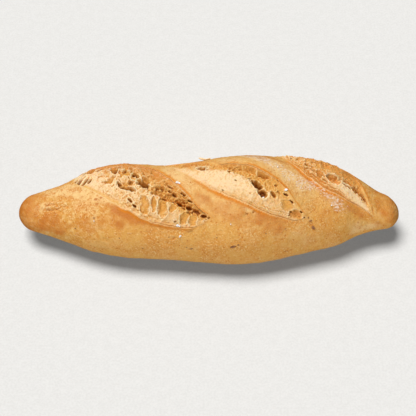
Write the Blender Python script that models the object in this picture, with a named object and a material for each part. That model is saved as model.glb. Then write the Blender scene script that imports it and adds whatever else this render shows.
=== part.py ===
"""A mini baguette: one slashed, hand-shaped loaf, as one closed solid.

Metres, +Z up. The loaf lies along X with its flat baked underside on z = 0. Three slashes run
slantwise over its top, from low on the front to high on the back. Each is an open lens: its
lower edge is a thin rim, its upper edge lifts as a flap, and the crumb swells out between them
with a deep groove under the flap.
"""

from typing import NamedTuple

import bpy
import numpy as np
from mathutils import Vector, noise

MM = 0.001
NODE = "loaf"

# The body: a spindle with blunt tips, widest a little right of its middle.
LENGTH = 200 * MM
TIP_REACH = 6.5 * MM  # over this length a tip closes, as a quarter of an ellipse
WIDEST_HEIGHT = 15.7 * MM  # of the line round the loaf where it is widest
RISE = 0.88  # from that line up to the top, as a share of the half width
DROP = 0.60  # from that line down, as a share of the half width, before the flat is cut


class Station(NamedTuple):
    """The loaf's half width, and how far its axis has drifted to the back, at one place."""

    x: float
    half_width: float
    drift: float


STATIONS = (
    Station(-100 * MM, 8.6 * MM, 0.4 * MM),
    Station(-80 * MM, 15.6 * MM, 0.6 * MM),
    Station(-62 * MM, 22.6 * MM, 0.4 * MM),
    Station(-45 * MM, 26.0 * MM, -0.2 * MM),
    Station(-25 * MM, 26.6 * MM, -0.5 * MM),
    Station(0, 29.2 * MM, -0.3 * MM),
    Station(18 * MM, 31.4 * MM, 0.9 * MM),
    Station(36 * MM, 29.8 * MM, 2.0 * MM),
    Station(54 * MM, 26.2 * MM, 3.2 * MM),
    Station(70 * MM, 21.0 * MM, 3.7 * MM),
    Station(80 * MM, 15.0 * MM, 3.0 * MM),
    Station(90 * MM, 11.0 * MM, 2.1 * MM),
    Station(100 * MM, 9.4 * MM, 1.4 * MM),
)


class Slash(NamedTuple):
    """One slash, laid out on the unrolled crust.

    Ends are (x, arc), arc being the way from the loaf's top line along its skin to the back.
    A bulge is how far an edge bows away from the line between the ends, and its powers shape
    the bow at the front and back end: small ones make a blunt end.
    """

    front: tuple
    back: tuple
    low_bulge: float
    low_powers: tuple
    high_bulge: float
    high_powers: tuple
    sink: float  # how far the crumb lies under the crust at the front end
    swell: float  # how far it stands above the crust towards the back
    groove: float  # depth of the groove under the flap
    flap: float  # lift of the upper edge


SLASHES = (
    Slash(
        front=(2 * MM, -21.5 * MM),
        back=(-75 * MM, 20 * MM),
        low_bulge=15.4 * MM,
        low_powers=(0.55, 0.30),
        high_bulge=17.5 * MM,
        high_powers=(1.0, 0.55),
        sink=1.6 * MM,
        swell=2.2 * MM,
        groove=2.8 * MM,
        flap=1.6 * MM,
    ),
    Slash(
        front=(51 * MM, -21 * MM),
        back=(-27 * MM, 26 * MM),
        low_bulge=11.6 * MM,
        low_powers=(0.62, 0.62),
        high_bulge=13.6 * MM,
        high_powers=(0.62, 0.75),
        sink=1.4 * MM,
        swell=0.8 * MM,
        groove=2.2 * MM,
        flap=3.2 * MM,
    ),
    Slash(
        front=(87 * MM, -9.5 * MM),
        back=(35 * MM, 35 * MM),
        low_bulge=12 * MM,
        low_powers=(0.62, 0.62),
        high_bulge=11.5 * MM,
        high_powers=(0.50, 0.75),
        sink=1.2 * MM,
        swell=2.6 * MM,
        groove=1.6 * MM,
        flap=1.8 * MM,
    ),
)

RIM_LIFT = 0.9 * MM  # of a slash's lower edge
RIM_REACH = 1.8 * MM  # over which the crust falls back to its level below that edge
FLAP_REACH = 9 * MM  # the same above the upper edge
LEDGE = 1.2 * MM  # width of the step from an edge down to the crumb
GROOVE_AT = 0.72  # share of the way from the lower to the upper edge
GROOVE_WIDTH = 0.13
CRAG_SIZE = 4.2 * MM  # spacing of the crumb's crags
CRAG_HEIGHT = 1.7 * MM
CRAG_MEAN = 0.25  # of the lumps and tears together, taken off so that the crumb keeps its level
TEAR_OFFSET = Vector((7.0, 3.0, 1.0))  # another place in the noise, so that tears miss the lumps
SIDE_FADE = 0.2  # cosine of the angle off the top line at which the relief starts to fade


class Hole(NamedTuple):
    """A hole torn in the crumb, as (x, arc) with its half length, half width and depth."""

    x: float
    arc: float
    half_length: float
    half_width: float
    depth: float


HOLES = (
    Hole(-16.5 * MM, -7.2 * MM, 3.6 * MM, 1.8 * MM, 2.2 * MM),
    Hole(-34.5 * MM, -2.1 * MM, 3.4 * MM, 1.6 * MM, 1.8 * MM),
    Hole(-7.5 * MM, -15.5 * MM, 4.0 * MM, 1.5 * MM, 2.2 * MM),
    Hole(24.5 * MM, -2.9 * MM, 3.0 * MM, 1.8 * MM, 3.4 * MM),
    Hole(28 * MM, -8.1 * MM, 2.6 * MM, 1.5 * MM, 3.0 * MM),
    Hole(45.5 * MM, -18.6 * MM, 3.4 * MM, 2.2 * MM, 2.2 * MM),
    Hole(-3 * MM, 7.7 * MM, 2.6 * MM, 1.4 * MM, 2.0 * MM),
    Hole(68 * MM, 12.9 * MM, 4.6 * MM, 3.2 * MM, 1.8 * MM),
    Hole(80.5 * MM, -1 * MM, 2.8 * MM, 1.2 * MM, 1.8 * MM),
)
HOLE_SLANT = np.radians(-38)  # the holes lie along the slashes

# The mesh: a fine ball is shaped, then its flat stretches are thinned out.
RINGS_ALONG = 420
POINTS_AROUND = 240
TRIANGLES = 10400
FLOOR_SIZE = 0.4  # of the block that cuts the underside flat

CRUST_COLOUR = (0.62, 0.34, 0.12, 1.0)
CRUST_ROUGHNESS = 0.72


def clear_scene():
    """Remove every object of the scene."""
    for thing in list(bpy.data.objects):
        bpy.data.objects.remove(thing, do_unlink=True)


def collection_named(name):
    """A new collection, linked to the scene."""
    made = bpy.data.collections.new(name)
    bpy.context.scene.collection.children.link(made)
    return made


def move_to(thing, collection):
    """Put an object in one collection only."""
    for holder in list(thing.users_collection):
        holder.objects.unlink(thing)
    collection.objects.link(thing)


def smooth_curve(x, knots, values):
    """A cubic curve through the values, with the slopes that their neighbours give."""
    slopes = np.gradient(values, knots)
    left = np.clip(np.searchsorted(knots, x) - 1, 0, len(knots) - 2)
    step = knots[left + 1] - knots[left]
    t = np.clip((x - knots[left]) / step, 0, 1)
    return (
        (2 * t**3 - 3 * t**2 + 1) * values[left]
        + (t**3 - 2 * t**2 + t) * step * slopes[left]
        + (3 * t**2 - 2 * t**3) * values[left + 1]
        + (t**3 - t**2) * step * slopes[left + 1]
    )


def smooth_step(low, high, x):
    """0 below low, 1 above high, and a smooth rise between."""
    t = np.clip((x - low) / (high - low), 0, 1)
    return t * t * (3 - 2 * t)


def half_width(x):
    """Half the loaf's width at x, closing over the tips."""
    knots = np.array([station.x for station in STATIONS])
    widths = np.array([station.half_width for station in STATIONS])
    inset = np.clip((LENGTH / 2 - np.abs(x)) / TIP_REACH, 0, 1)
    return smooth_curve(x, knots, widths) * np.sqrt(1 - (1 - inset) ** 2)


def drift(x):
    """How far the loaf's axis lies to the back at x."""
    knots = np.array([station.x for station in STATIONS])
    drifts = np.array([station.drift for station in STATIONS])
    return smooth_curve(x, knots, drifts)


def skin(x, angle):
    """Points and outward directions of the plain loaf, angle being 0 on top and + to the back."""
    width = half_width(x)
    share = np.where(np.cos(angle) > 0, RISE, DROP)
    points = np.stack(
        [x, drift(x) + width * np.sin(angle), WIDEST_HEIGHT + share * width * np.cos(angle)], axis=-1
    )
    outward = np.stack([np.zeros_like(x), share * np.sin(angle), np.cos(angle)], axis=-1)
    return points, outward / np.linalg.norm(outward, axis=-1, keepdims=True)


def arc_length(x, angle):
    """Way along the skin from the top line to an angle, near enough for the upper half."""
    flattening = (1 - RISE**2) / 2
    return half_width(x) * (angle - flattening * (angle / 2 - np.sin(2 * angle) / 4))


def bow(t, powers):
    """0 at both ends of t, 1 where it is fullest."""
    front, back = powers
    t = np.clip(t, 0, 1)
    peak = front / (front + back)
    return t**front * (1 - t) ** back / (peak**front * (1 - peak) ** back)


def slash_place(slash, x, arc):
    """Where points lie on a slash.

    Returns:
        The share of the way from its front to its back end, the ways in from its lower and its
        upper edge, and the way past its ends.
    """
    front = np.array(slash.front)
    run = np.array(slash.back) - front
    length = np.hypot(*run)
    run /= length
    along = (x - front[0]) * run[0] + (arc - front[1]) * run[1]
    across = (x - front[0]) * run[1] - (arc - front[1]) * run[0]
    t = along / length
    from_low = across + slash.low_bulge * bow(t, slash.low_powers)
    from_high = slash.high_bulge * bow(t, slash.high_powers) - across
    past_end = np.maximum(np.maximum(-along, along - length), 0)
    return t, from_low, from_high, past_end


def slash_relief(slash, x, arc, crags):
    """Height over the plain skin that a slash gives, rim, flap and crumb together."""
    t, from_low, from_high, past_end = slash_place(slash, x, arc)
    fullness = np.sin(np.pi * np.clip(t, 0, 1)) ** 0.7
    flap_lift = slash.flap * fullness
    outside_low = np.minimum(from_low, 0) / RIM_REACH
    outside_high = np.minimum(from_high, 0) / FLAP_REACH
    flap_side = smooth_step(-LEDGE, LEDGE, from_low - from_high)
    crust = RIM_LIFT * fullness * np.exp(-(outside_low**2)) * (1 - flap_side)
    crust += flap_lift * np.exp(-(outside_high**2)) * flap_side

    width = np.maximum(from_low + from_high, LEDGE)
    u = np.clip(from_low / width, 0, 1)
    swelling = smooth_step(0.05, 0.6, t) * smooth_step(1.2, 0.75, t)
    crumb = (-slash.sink + (slash.sink + slash.swell) * swelling) * np.sin(np.pi * u) ** 0.6
    crumb -= slash.sink * (1 - smooth_step(0, 0.5, u))
    crumb -= slash.groove * smooth_step(1.0, 0.35, t) * np.exp(-(((u - GROOVE_AT) / GROOVE_WIDTH) ** 2))
    crumb += flap_lift * smooth_step(0.75, 1.0, u)
    crumb += crags * fullness
    inside = smooth_step(0, LEDGE, from_low) * smooth_step(0, LEDGE, from_high) * (past_end == 0)
    return crust * (1 - inside) + crumb * inside


def hole_relief(hole, x, arc):
    """Depth of a torn hole, as a height below zero."""
    along = (x - hole.x) * np.cos(HOLE_SLANT) + (arc - hole.arc) * np.sin(HOLE_SLANT)
    across = (arc - hole.arc) * np.cos(HOLE_SLANT) - (x - hole.x) * np.sin(HOLE_SLANT)
    way = np.hypot(along / hole.half_length, across / hole.half_width)
    return -hole.depth * (1 - smooth_step(0.35, 1.15, way))


def crag_heights(points):
    """Lumps and tears of an open crumb, the same for a place however the mesh is cut."""
    heights = np.empty(len(points))
    for index, point in enumerate(points):
        place = Vector(point) / CRAG_SIZE
        lump = noise.noise(place) + 0.4 * noise.noise(place * 2)
        tear = abs(noise.noise(place * 0.8 + TEAR_OFFSET))
        heights[index] = 0.7 * lump + 0.9 * tear - CRAG_MEAN
    return heights * CRAG_HEIGHT


def shaped(ball_points):
    """Move the points of a unit ball, poles on Z, to the slashed loaf."""
    x = ball_points[:, 2] * LENGTH / 2
    angle = np.arctan2(-ball_points[:, 1], ball_points[:, 0])
    points, outward = skin(x, angle)
    arc = arc_length(x, angle)
    crags = crag_heights(points)
    height = sum(slash_relief(slash, x, arc, crags) for slash in SLASHES)
    height += sum(hole_relief(hole, x, arc) for hole in HOLES)
    height *= smooth_step(0, SIDE_FADE, np.cos(angle))
    return points + outward * height[:, None]


def centre_on_floor(loaf):
    """Move the mesh so that its box is centred over the origin and stands on z = 0."""
    corners = np.array([vertex.co for vertex in loaf.data.vertices])
    middle = (corners.min(axis=0) + corners.max(axis=0)) / 2
    shift = np.array([middle[0], middle[1], 0.0])
    loaf.data.vertices.foreach_set("co", (corners - shift).astype(np.float32).ravel())
    loaf.data.update()


def apply_modifier(thing, modifier):
    """Apply one modifier, with its object as the only one selected."""
    bpy.ops.object.select_all(action="DESELECT")
    thing.select_set(True)
    bpy.context.view_layer.objects.active = thing
    bpy.ops.object.modifier_apply(modifier=modifier.name)


def crust_material():
    """Matt, golden-brown baked crust."""
    material = bpy.data.materials.new("crust")
    material.use_nodes = True
    shader = material.node_tree.nodes["Principled BSDF"]
    shader.inputs["Base Color"].default_value = CRUST_COLOUR
    shader.inputs["Roughness"].default_value = CRUST_ROUGHNESS
    shader.inputs["Metallic"].default_value = 0.0
    return material


def floor_cutter(collection):
    """A block whose top is z = 0, which cuts the flat underside."""
    bpy.ops.mesh.primitive_cube_add(size=FLOOR_SIZE, location=(0, 0, -FLOOR_SIZE / 2))
    block = bpy.context.object
    block.name = "floor_cutter"
    block.hide_render = True
    block.display_type = "WIRE"
    move_to(block, collection)
    return block


def build_loaf(collection, cutters):
    """The loaf: a ball shaped by its functions, thinned out, and cut flat underneath."""
    bpy.ops.mesh.primitive_uv_sphere_add(segments=POINTS_AROUND, ring_count=RINGS_ALONG, radius=1.0)
    loaf = bpy.context.object
    loaf.name = NODE
    loaf.data.name = NODE
    ball_points = np.array([vertex.co for vertex in loaf.data.vertices])
    loaf.data.vertices.foreach_set("co", shaped(ball_points).astype(np.float32).ravel())
    loaf.data.update()

    thin_out = loaf.modifiers.new("thin_out", "DECIMATE")
    thin_out.ratio = TRIANGLES / sum(len(face.vertices) - 2 for face in loaf.data.polygons)
    apply_modifier(loaf, thin_out)

    flat = loaf.modifiers.new("flat_underside", "BOOLEAN")
    flat.operation = "DIFFERENCE"
    flat.solver = "EXACT"
    flat.object = floor_cutter(cutters)
    apply_modifier(loaf, flat)

    centre_on_floor(loaf)
    loaf.data.materials.append(crust_material())
    move_to(loaf, collection)
    return loaf


def main():
    """Build the whole part."""
    clear_scene()
    build_loaf(collection_named("mini_baguette"), collection_named("cutters"))


main()
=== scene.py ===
"""Looks of a mini baguette: the baked crust, and the torn crumb in its three slashes.

Metres, +Z up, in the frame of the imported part. The crust is a fine ball shaped by the loaf's own
functions, with the three slashes cut out of it. A closed pillow of crumb fills each cut. Salt
crystals, grain flecks and a loose flake lie on them.
"""

import logging
import math
from dataclasses import dataclass
from enum import Enum
from functools import cached_property
from typing import Iterable, NamedTuple

import bpy
import numpy as np
from mathutils import Euler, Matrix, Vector


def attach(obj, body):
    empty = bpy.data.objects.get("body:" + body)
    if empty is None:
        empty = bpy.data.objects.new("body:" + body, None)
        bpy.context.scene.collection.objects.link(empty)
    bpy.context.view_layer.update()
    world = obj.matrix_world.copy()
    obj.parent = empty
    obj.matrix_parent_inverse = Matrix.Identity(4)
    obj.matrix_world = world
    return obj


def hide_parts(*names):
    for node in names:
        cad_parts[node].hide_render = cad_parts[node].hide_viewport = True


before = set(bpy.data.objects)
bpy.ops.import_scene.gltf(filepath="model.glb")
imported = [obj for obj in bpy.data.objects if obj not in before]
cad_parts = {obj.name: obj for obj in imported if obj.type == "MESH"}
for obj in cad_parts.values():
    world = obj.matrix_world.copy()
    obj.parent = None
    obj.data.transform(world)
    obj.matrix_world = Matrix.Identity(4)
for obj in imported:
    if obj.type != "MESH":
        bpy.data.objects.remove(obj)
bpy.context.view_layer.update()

MM = 0.001
NODE = "loaf"
BODY = "root"
PORE_STRAY = 0.28  # how far the outline of a pore strays, as a share of its size
BOWL_STRAY = 0.26
PATCH_STRAY = 0.35
CREST_MOST = 0.16 * MM  # how far out a point's "crest" and "stand" reach 1
STAND_MOST = 0.9 * MM

log = logging.getLogger("mini_baguette")


# --- Numbers along curves ------------------------------------------------------------------------


def smooth_step(low: float, high: float, x: np.ndarray) -> np.ndarray:
    """Rise smoothly from 0 at low to 1 at high, or fall where low is the larger.

    Args:
        low: Where the result is 0.
        high: Where the result is 1.
        x: The values.

    Returns:
        One number from 0 to 1 for each value.
    """
    t = np.clip((x - low) / (high - low), 0.0, 1.0)
    return t * t * (3.0 - 2.0 * t)


def smooth_curve(x: np.ndarray, knots: np.ndarray, values: np.ndarray) -> np.ndarray:
    """Follow a cubic curve through the values, with the slopes that their neighbours give.

    Args:
        x: Where to read the curve.
        knots: Where the values stand, rising.
        values: One value for each knot, or one row of values, a column for each x.

    Returns:
        The curve's height at each x.
    """
    slopes = np.gradient(values, knots, axis=0)
    left = np.clip(np.searchsorted(knots, x) - 1, 0, len(knots) - 2)
    step = knots[left + 1] - knots[left]
    t = np.clip((x - knots[left]) / step, 0.0, 1.0)
    column = (np.arange(len(x)),) if values.ndim == 2 else ()
    return (
        (2 * t**3 - 3 * t**2 + 1) * values[(left, *column)]
        + (t**3 - 2 * t**2 + t) * step * slopes[(left, *column)]
        + (3 * t**2 - 2 * t**3) * values[(left + 1, *column)]
        + (t**3 - t**2) * step * slopes[(left + 1, *column)]
    )


def settled(cells: np.ndarray, seed: int) -> np.ndarray:
    """Draw one number from 0 to 1 for each whole-number cell, the same each time.

    Args:
        cells: Cells, one row each, with two or three whole numbers.
        seed: Changes all the draws.

    Returns:
        One number for each cell.
    """
    factors = np.array([374761393, 668265263, 2147483629])[: cells.shape[-1]]
    mixed = ((cells * factors).sum(axis=-1) + seed * 974634777) & 0xFFFFFFFF
    mixed = ((mixed ^ (mixed >> 13)) * 1274126177) & 0xFFFFFFFF
    mixed = ((mixed ^ (mixed >> 16)) * 1103515245) & 0xFFFFFFFF
    return (mixed ^ (mixed >> 15)) / 0xFFFFFFFF


def noise_at(points: np.ndarray, size: float, seed: int, octaves: int = 1) -> np.ndarray:
    """Read smooth noise at points.

    Args:
        points: Places in metres, one row each, with two or three numbers.
        size: Spacing of the largest lumps, in metres.
        seed: Changes the noise.
        octaves: How many finer layers are added.

    Returns:
        One number, about -1 to 1, for each point.
    """
    total = np.zeros(len(points))
    for octave in range(octaves):
        places = points / size * 2**octave
        base = np.floor(places).astype(np.int64)
        inside = places - base
        eased = inside**3 * (inside * (inside * 6 - 15) + 10)
        for corner in np.ndindex(*(2,) * points.shape[1]):
            weight = np.prod(np.where(corner, eased, 1 - eased), axis=-1)
            slope = np.zeros(len(points))
            for axis in range(points.shape[1]):
                pull = 2 * settled(base + corner, seed + 97 * octave + 13 * axis) - 1
                slope += pull * (inside[:, axis] - corner[axis])
            total += weight * slope * 1.8 / 2**octave
    return total


def foam_at(places: np.ndarray, seed: int) -> tuple[np.ndarray, np.ndarray]:
    """Divide a plane into bubbles that press against each other.

    Args:
        places: Points, one row each, in bubble sizes.
        seed: Changes the bubbles.

    Returns:
        How far each point is from the wall between bubbles, 0 on it, and its bubble's own number.
    """
    base = np.floor(places).astype(np.int64)
    first = np.full(len(places), np.inf)
    second = np.full(len(places), np.inf)
    own = np.zeros(len(places))
    for step in np.ndindex(3, 3):
        cell = base + np.array(step) - 1
        jitter = np.stack([settled(cell, seed), settled(cell, seed + 1)], axis=-1)
        way = np.linalg.norm(cell + jitter - places, axis=-1)
        nearer = way < first
        second = np.where(nearer, first, np.minimum(second, way))
        own = np.where(nearer, settled(cell, seed + 2), own)
        first = np.where(nearer, way, first)
    return second - first, own


# --- The loaf's form -----------------------------------------------------------------------------


class Station(NamedTuple):
    """The loaf's half width, and how far its axis has drifted to the back, at one place."""

    x: float
    half_width: float
    drift: float


@dataclass(frozen=True)
class LoafForm:
    """The plain loaf before it is slashed: a spindle with blunt tips and a flat underside."""

    left: float = -100 * MM
    right: float = 101.8 * MM
    left_reach: float = 7.0 * MM
    right_reach: float = 7.4 * MM
    widest_height: float = 15.7 * MM
    rise: float = 0.88
    drop: float = 0.60
    stations: tuple[Station, ...] = (
        Station(-100 * MM, 7.7 * MM, 1.3 * MM),
        Station(-80 * MM, 14.9 * MM, 1.1 * MM),
        Station(-62 * MM, 22.4 * MM, 1.3 * MM),
        Station(-45 * MM, 25.7 * MM, 0.8 * MM),
        Station(-25 * MM, 26.6 * MM, 0.1 * MM),
        Station(0, 29.1 * MM, 0.5 * MM),
        Station(18 * MM, 31.3 * MM, 1.9 * MM),
        Station(36 * MM, 29.8 * MM, 3.2 * MM),
        Station(54 * MM, 26.0 * MM, 4.0 * MM),
        Station(70 * MM, 21.0 * MM, 3.7 * MM),
        Station(80 * MM, 15.0 * MM, 3.0 * MM),
        Station(90 * MM, 11.0 * MM, 2.0 * MM),
        Station(101.8 * MM, 8.3 * MM, 0.8 * MM),
    )

    @property
    def length(self) -> float:
        """Way from tip to tip."""
        return self.right - self.left

    @property
    def middle(self) -> float:
        """Place midway between the tips."""
        return (self.left + self.right) / 2

    def _along(self, x: np.ndarray, values: Iterable[float]) -> np.ndarray:
        """Read a curve through one value for each station."""
        knots = np.array([station.x for station in self.stations])
        return smooth_curve(x, knots, np.array(list(values)))

    def half_width(self, x: np.ndarray) -> np.ndarray:
        """Find half the loaf's width, closing over the tips.

        Args:
            x: Place along the loaf.

        Returns:
            Half the width at each place.
        """
        inset = np.minimum((x - self.left) / self.left_reach, (self.right - x) / self.right_reach)
        inset = np.clip(inset, 0.0, 1.0)
        width = self._along(x, (station.half_width for station in self.stations))
        return width * np.sqrt(1 - (1 - inset) ** 2)

    def drift(self, x: np.ndarray) -> np.ndarray:
        """Find how far the loaf's axis lies to the back, with the whole loaf centred.

        Args:
            x: Place along the loaf.

        Returns:
            The axis's y at each place.
        """
        spread = np.linspace(self.left, self.right, 801)
        axis = self._along(spread, (station.drift for station in self.stations))
        width = self.half_width(spread)
        middle = ((axis - width).min() + (axis + width).max()) / 2
        return self._along(x, (station.drift for station in self.stations)) - middle

    def skin(self, x: np.ndarray, angle: np.ndarray) -> tuple[np.ndarray, np.ndarray]:
        """Find points on the plain loaf.

        Args:
            x: Place along the loaf.
            angle: Place round it: 0 on the top line, positive to the back.

        Returns:
            The points, and the directions straight out of the skin there.
        """
        width = self.half_width(x)
        share = np.where(np.cos(angle) > 0, self.rise, self.drop)
        y = self.drift(x) + width * np.sin(angle)
        z = self.widest_height + share * width * np.cos(angle)
        outward = np.stack([np.zeros_like(x), share * np.sin(angle), np.cos(angle)], axis=-1)
        outward /= np.linalg.norm(outward, axis=-1, keepdims=True)
        return np.stack([x, y, z], axis=-1), outward

    def _unrolled(self, angle: np.ndarray) -> np.ndarray:
        """Way along the skin from the top line for a half width of 1."""
        flattening = (1 - self.rise**2) / 2
        return angle - flattening * (angle / 2 - np.sin(2 * angle) / 4)

    def arc(self, x: np.ndarray, angle: np.ndarray) -> np.ndarray:
        """Way along the skin from the top line to an angle, in metres."""
        return self.half_width(x) * self._unrolled(angle)

    def angle(self, x: np.ndarray, arc: np.ndarray) -> np.ndarray:
        """Angle at a way along the skin from the top line."""
        angles = np.linspace(-math.pi, math.pi, 2001)
        return np.interp(arc / self.half_width(x), self._unrolled(angles), angles)

    def above(self, x: np.ndarray, arc: np.ndarray, height: np.ndarray) -> np.ndarray:
        """Points at a height straight out of the skin."""
        points, outward = self.skin(x, self.angle(x, arc))
        return points + outward * np.asarray(height)[..., None]

    def swell(self, x: np.ndarray, angle: np.ndarray) -> np.ndarray:
        """Uneven height of the whole skin, that crust and crumb share."""
        skin, _ = self.skin(x, angle)
        return (0.30 * noise_at(skin, 24 * MM, 3, 2) + 0.14 * noise_at(skin, 8 * MM, 8, 2)) * MM

    def unroll(self, points: np.ndarray) -> tuple[np.ndarray, np.ndarray]:
        """Find where points lie on the unrolled skin.

        Args:
            points: Places near the upper skin.

        Returns:
            Their x and their arc.
        """
        x = np.clip(points[:, 0], self.left + 0.1 * MM, self.right - 0.1 * MM)
        side = points[:, 1] - self.drift(x)
        up = (points[:, 2] - self.widest_height) / self.rise
        return x, self.arc(x, np.arctan2(side, up))


# --- The slashes ---------------------------------------------------------------------------------


class Pore(NamedTuple):
    """One hole, bubble or dent, as (x, arc) on the unrolled skin."""

    x: float
    arc: float
    half_length: float
    half_width: float
    depth: float
    turn: float
    # How much painted shade fills it, 0 to 1.
    dark: float = 0.0
    brim: float = 0.1  # height of the brim round it, as a share of its depth


class PlacedPore(NamedTuple):
    """One hole that stands out, placed on the unrolled skin and sized in millimetres."""

    x: float
    arc: float
    half_length: float
    half_width: float
    depth: float
    turn: float  # degrees, from the loaf's length to the back
    # How much painted shade fills it, 0 to 1.
    dark: float = 1.0
    brim: float = 0.1


def oval_way(
    dx: np.ndarray, da: np.ndarray, half_length: float, half_width: float, turn: float
) -> np.ndarray:
    """Find how far points are from the middle of a turned oval.

    Args:
        dx: Way of each point from the middle, along the loaf.
        da: Its way from the middle, along the arc.
        half_length: Half the oval's length.
        half_width: Half its width.
        turn: Angle from the loaf's length to the back.

    Returns:
        One number for each point, 0 in the middle and 1 on the oval's edge.
    """
    along = dx * math.cos(turn) + da * math.sin(turn)
    across = da * math.cos(turn) - dx * math.sin(turn)
    return np.hypot(along / half_length, across / half_width)


def pore_depths(
    pores: Iterable[Pore], x: np.ndarray, arc: np.ndarray, warp: np.ndarray
) -> tuple[np.ndarray, np.ndarray]:
    """Sink pores into a surface.

    Args:
        pores: The pores.
        x: Place of each point along the loaf.
        arc: Its way along the skin from the top line.
        warp: Makes the outlines uneven, about -1 to 1.

    Returns:
        The height that the pores add, and how much painted shade each point gets inside a pore, 0 to 1.
    """
    height = np.zeros_like(x)
    dark = np.zeros_like(x)
    for pore in pores:
        reach = 1.7 * max(pore.half_length, pore.half_width)
        near = np.nonzero((np.abs(x - pore.x) < reach) & (np.abs(arc - pore.arc) < reach))[0]
        dx = x[near] - pore.x
        da = arc[near] - pore.arc
        way = oval_way(dx, da, pore.half_length, pore.half_width, pore.turn) + PORE_STRAY * warp[near]
        height[near] -= pore.depth * smooth_step(1.02, 0.40, way)
        height[near] += pore.brim * pore.depth * np.exp(-(((way - 1.12) / 0.17) ** 2))
        # Painted shade, strongest in the middle of the pore.
        dark[near] = np.maximum(dark[near], pore.dark * smooth_step(1.0, 0.35, way))
    return height, dark


def bowl_depths(
    bowls: Iterable[PlacedPore], x: np.ndarray, arc: np.ndarray, warp: np.ndarray
) -> tuple[np.ndarray, np.ndarray, np.ndarray]:
    """Press bowls into a surface, with a thin wall wherever two of them meet.

    Args:
        bowls: The bowls.
        x: Place of each point along the loaf.
        arc: Its way along the skin from the top line.
        warp: Makes the outlines uneven, about -1 to 1.

    Returns:
        The height that the bowls add, how far inside a bowl each point is and how much painted shade it
        gets there.
    """
    sunk = np.zeros_like(x)
    brim = np.zeros_like(x)
    inside = np.zeros_like(x)
    dark = np.zeros_like(x)
    for bowl in bowls:
        dx = x / MM - bowl.x
        da = arc / MM - bowl.arc
        turn = math.radians(bowl.turn)
        way = oval_way(dx, da, bowl.half_length, bowl.half_width, turn) + BOWL_STRAY * warp
        sunk = np.maximum(sunk, bowl.depth * MM * np.clip(1 - np.maximum(way, 0) ** 2, 0, 1))
        brim = np.maximum(brim, 0.30 * MM * np.exp(-(((way - 1.0) / 0.16) ** 2)))
        inside = np.maximum(inside, smooth_step(1.05, 0.6, way))
        dark = np.maximum(dark, bowl.dark * smooth_step(1.0, 0.5, way))
    return brim * (1 - smooth_step(0.0, 0.5 * MM, sunk)) - sunk, inside, dark


@dataclass(frozen=True)
class Cage:
    """Values at the crossings of a net over a slash, joined by smooth curves.

    A row stands for each place along the slash, and a column for each place over it.
    """

    along: tuple[float, ...]
    over: tuple[float, ...]
    rows: tuple[tuple[float, ...], ...]

    def at(self, t: np.ndarray, u: np.ndarray) -> np.ndarray:
        """Read the values between the crossings.

        Args:
            t: Share along the slash.
            u: Share over it, from the lower to the upper edge.

        Returns:
            One value for each place.
        """
        over = np.array(self.over)
        columns = np.stack([smooth_curve(u, over, np.array(row)) for row in self.rows])
        return smooth_curve(t, np.array(self.along), columns)


@dataclass(frozen=True)
class HeightCage(Cage):
    """Broad height of the crumb in millimetres, over a straight line from edge to edge."""

    along: tuple[float, ...] = (0.0, 0.10, 0.20, 0.30, 0.40, 0.50, 0.65, 0.80, 1.0)
    over: tuple[float, ...] = (0.0, 0.08, 0.18, 0.34, 0.50, 0.70, 0.88, 1.0)
    rows: tuple[tuple[float, ...], ...] = ()


@dataclass(frozen=True)
class LookCage(Cage):
    """How much of a look the crumb has, 0 to 1."""

    along: tuple[float, ...] = (0.0, 0.14, 0.30, 0.45, 0.60, 0.80, 1.0)
    over: tuple[float, ...] = (0.0, 0.15, 0.40, 0.60, 0.80, 1.0)
    rows: tuple[tuple[float, ...], ...] = ()


class FurrowStep(NamedTuple):
    """One place of a furrow: share along, share over and depth in millimetres."""

    along: float
    over: float
    depth: float


@dataclass(frozen=True)
class Furrow:
    """The deepest line of a slash, where the dough tore: steep below and gentler above."""

    steps: tuple[FurrowStep, ...]
    low_width: float
    high_width: float

    def height(self, slash: "Slash", t: np.ndarray, across: np.ndarray, warp: np.ndarray) -> np.ndarray:
        """Work out the height that the furrow gives.

        Args:
            slash: The slash that it runs in.
            t: Share along the slash.
            across: Way across it, in metres.
            warp: Makes the line uneven, about -1 to 1.

        Returns:
            The height in metres, never above 0.
        """
        along = np.array([step.along for step in self.steps])
        over = smooth_curve(t, along, np.array([step.over for step in self.steps]))
        depth = smooth_curve(t, along, np.array([step.depth for step in self.steps])) * MM
        line = slash.low(t) + over * (slash.high(t) - slash.low(t))
        way = across - line + 0.7 * MM * warp
        low = smooth_step(-self.low_width, 0.0, way)
        high = smooth_step(self.high_width, 0.0, way)
        return -np.maximum(depth, 0) * np.where(way < 0, low, high**1.3)


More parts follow.
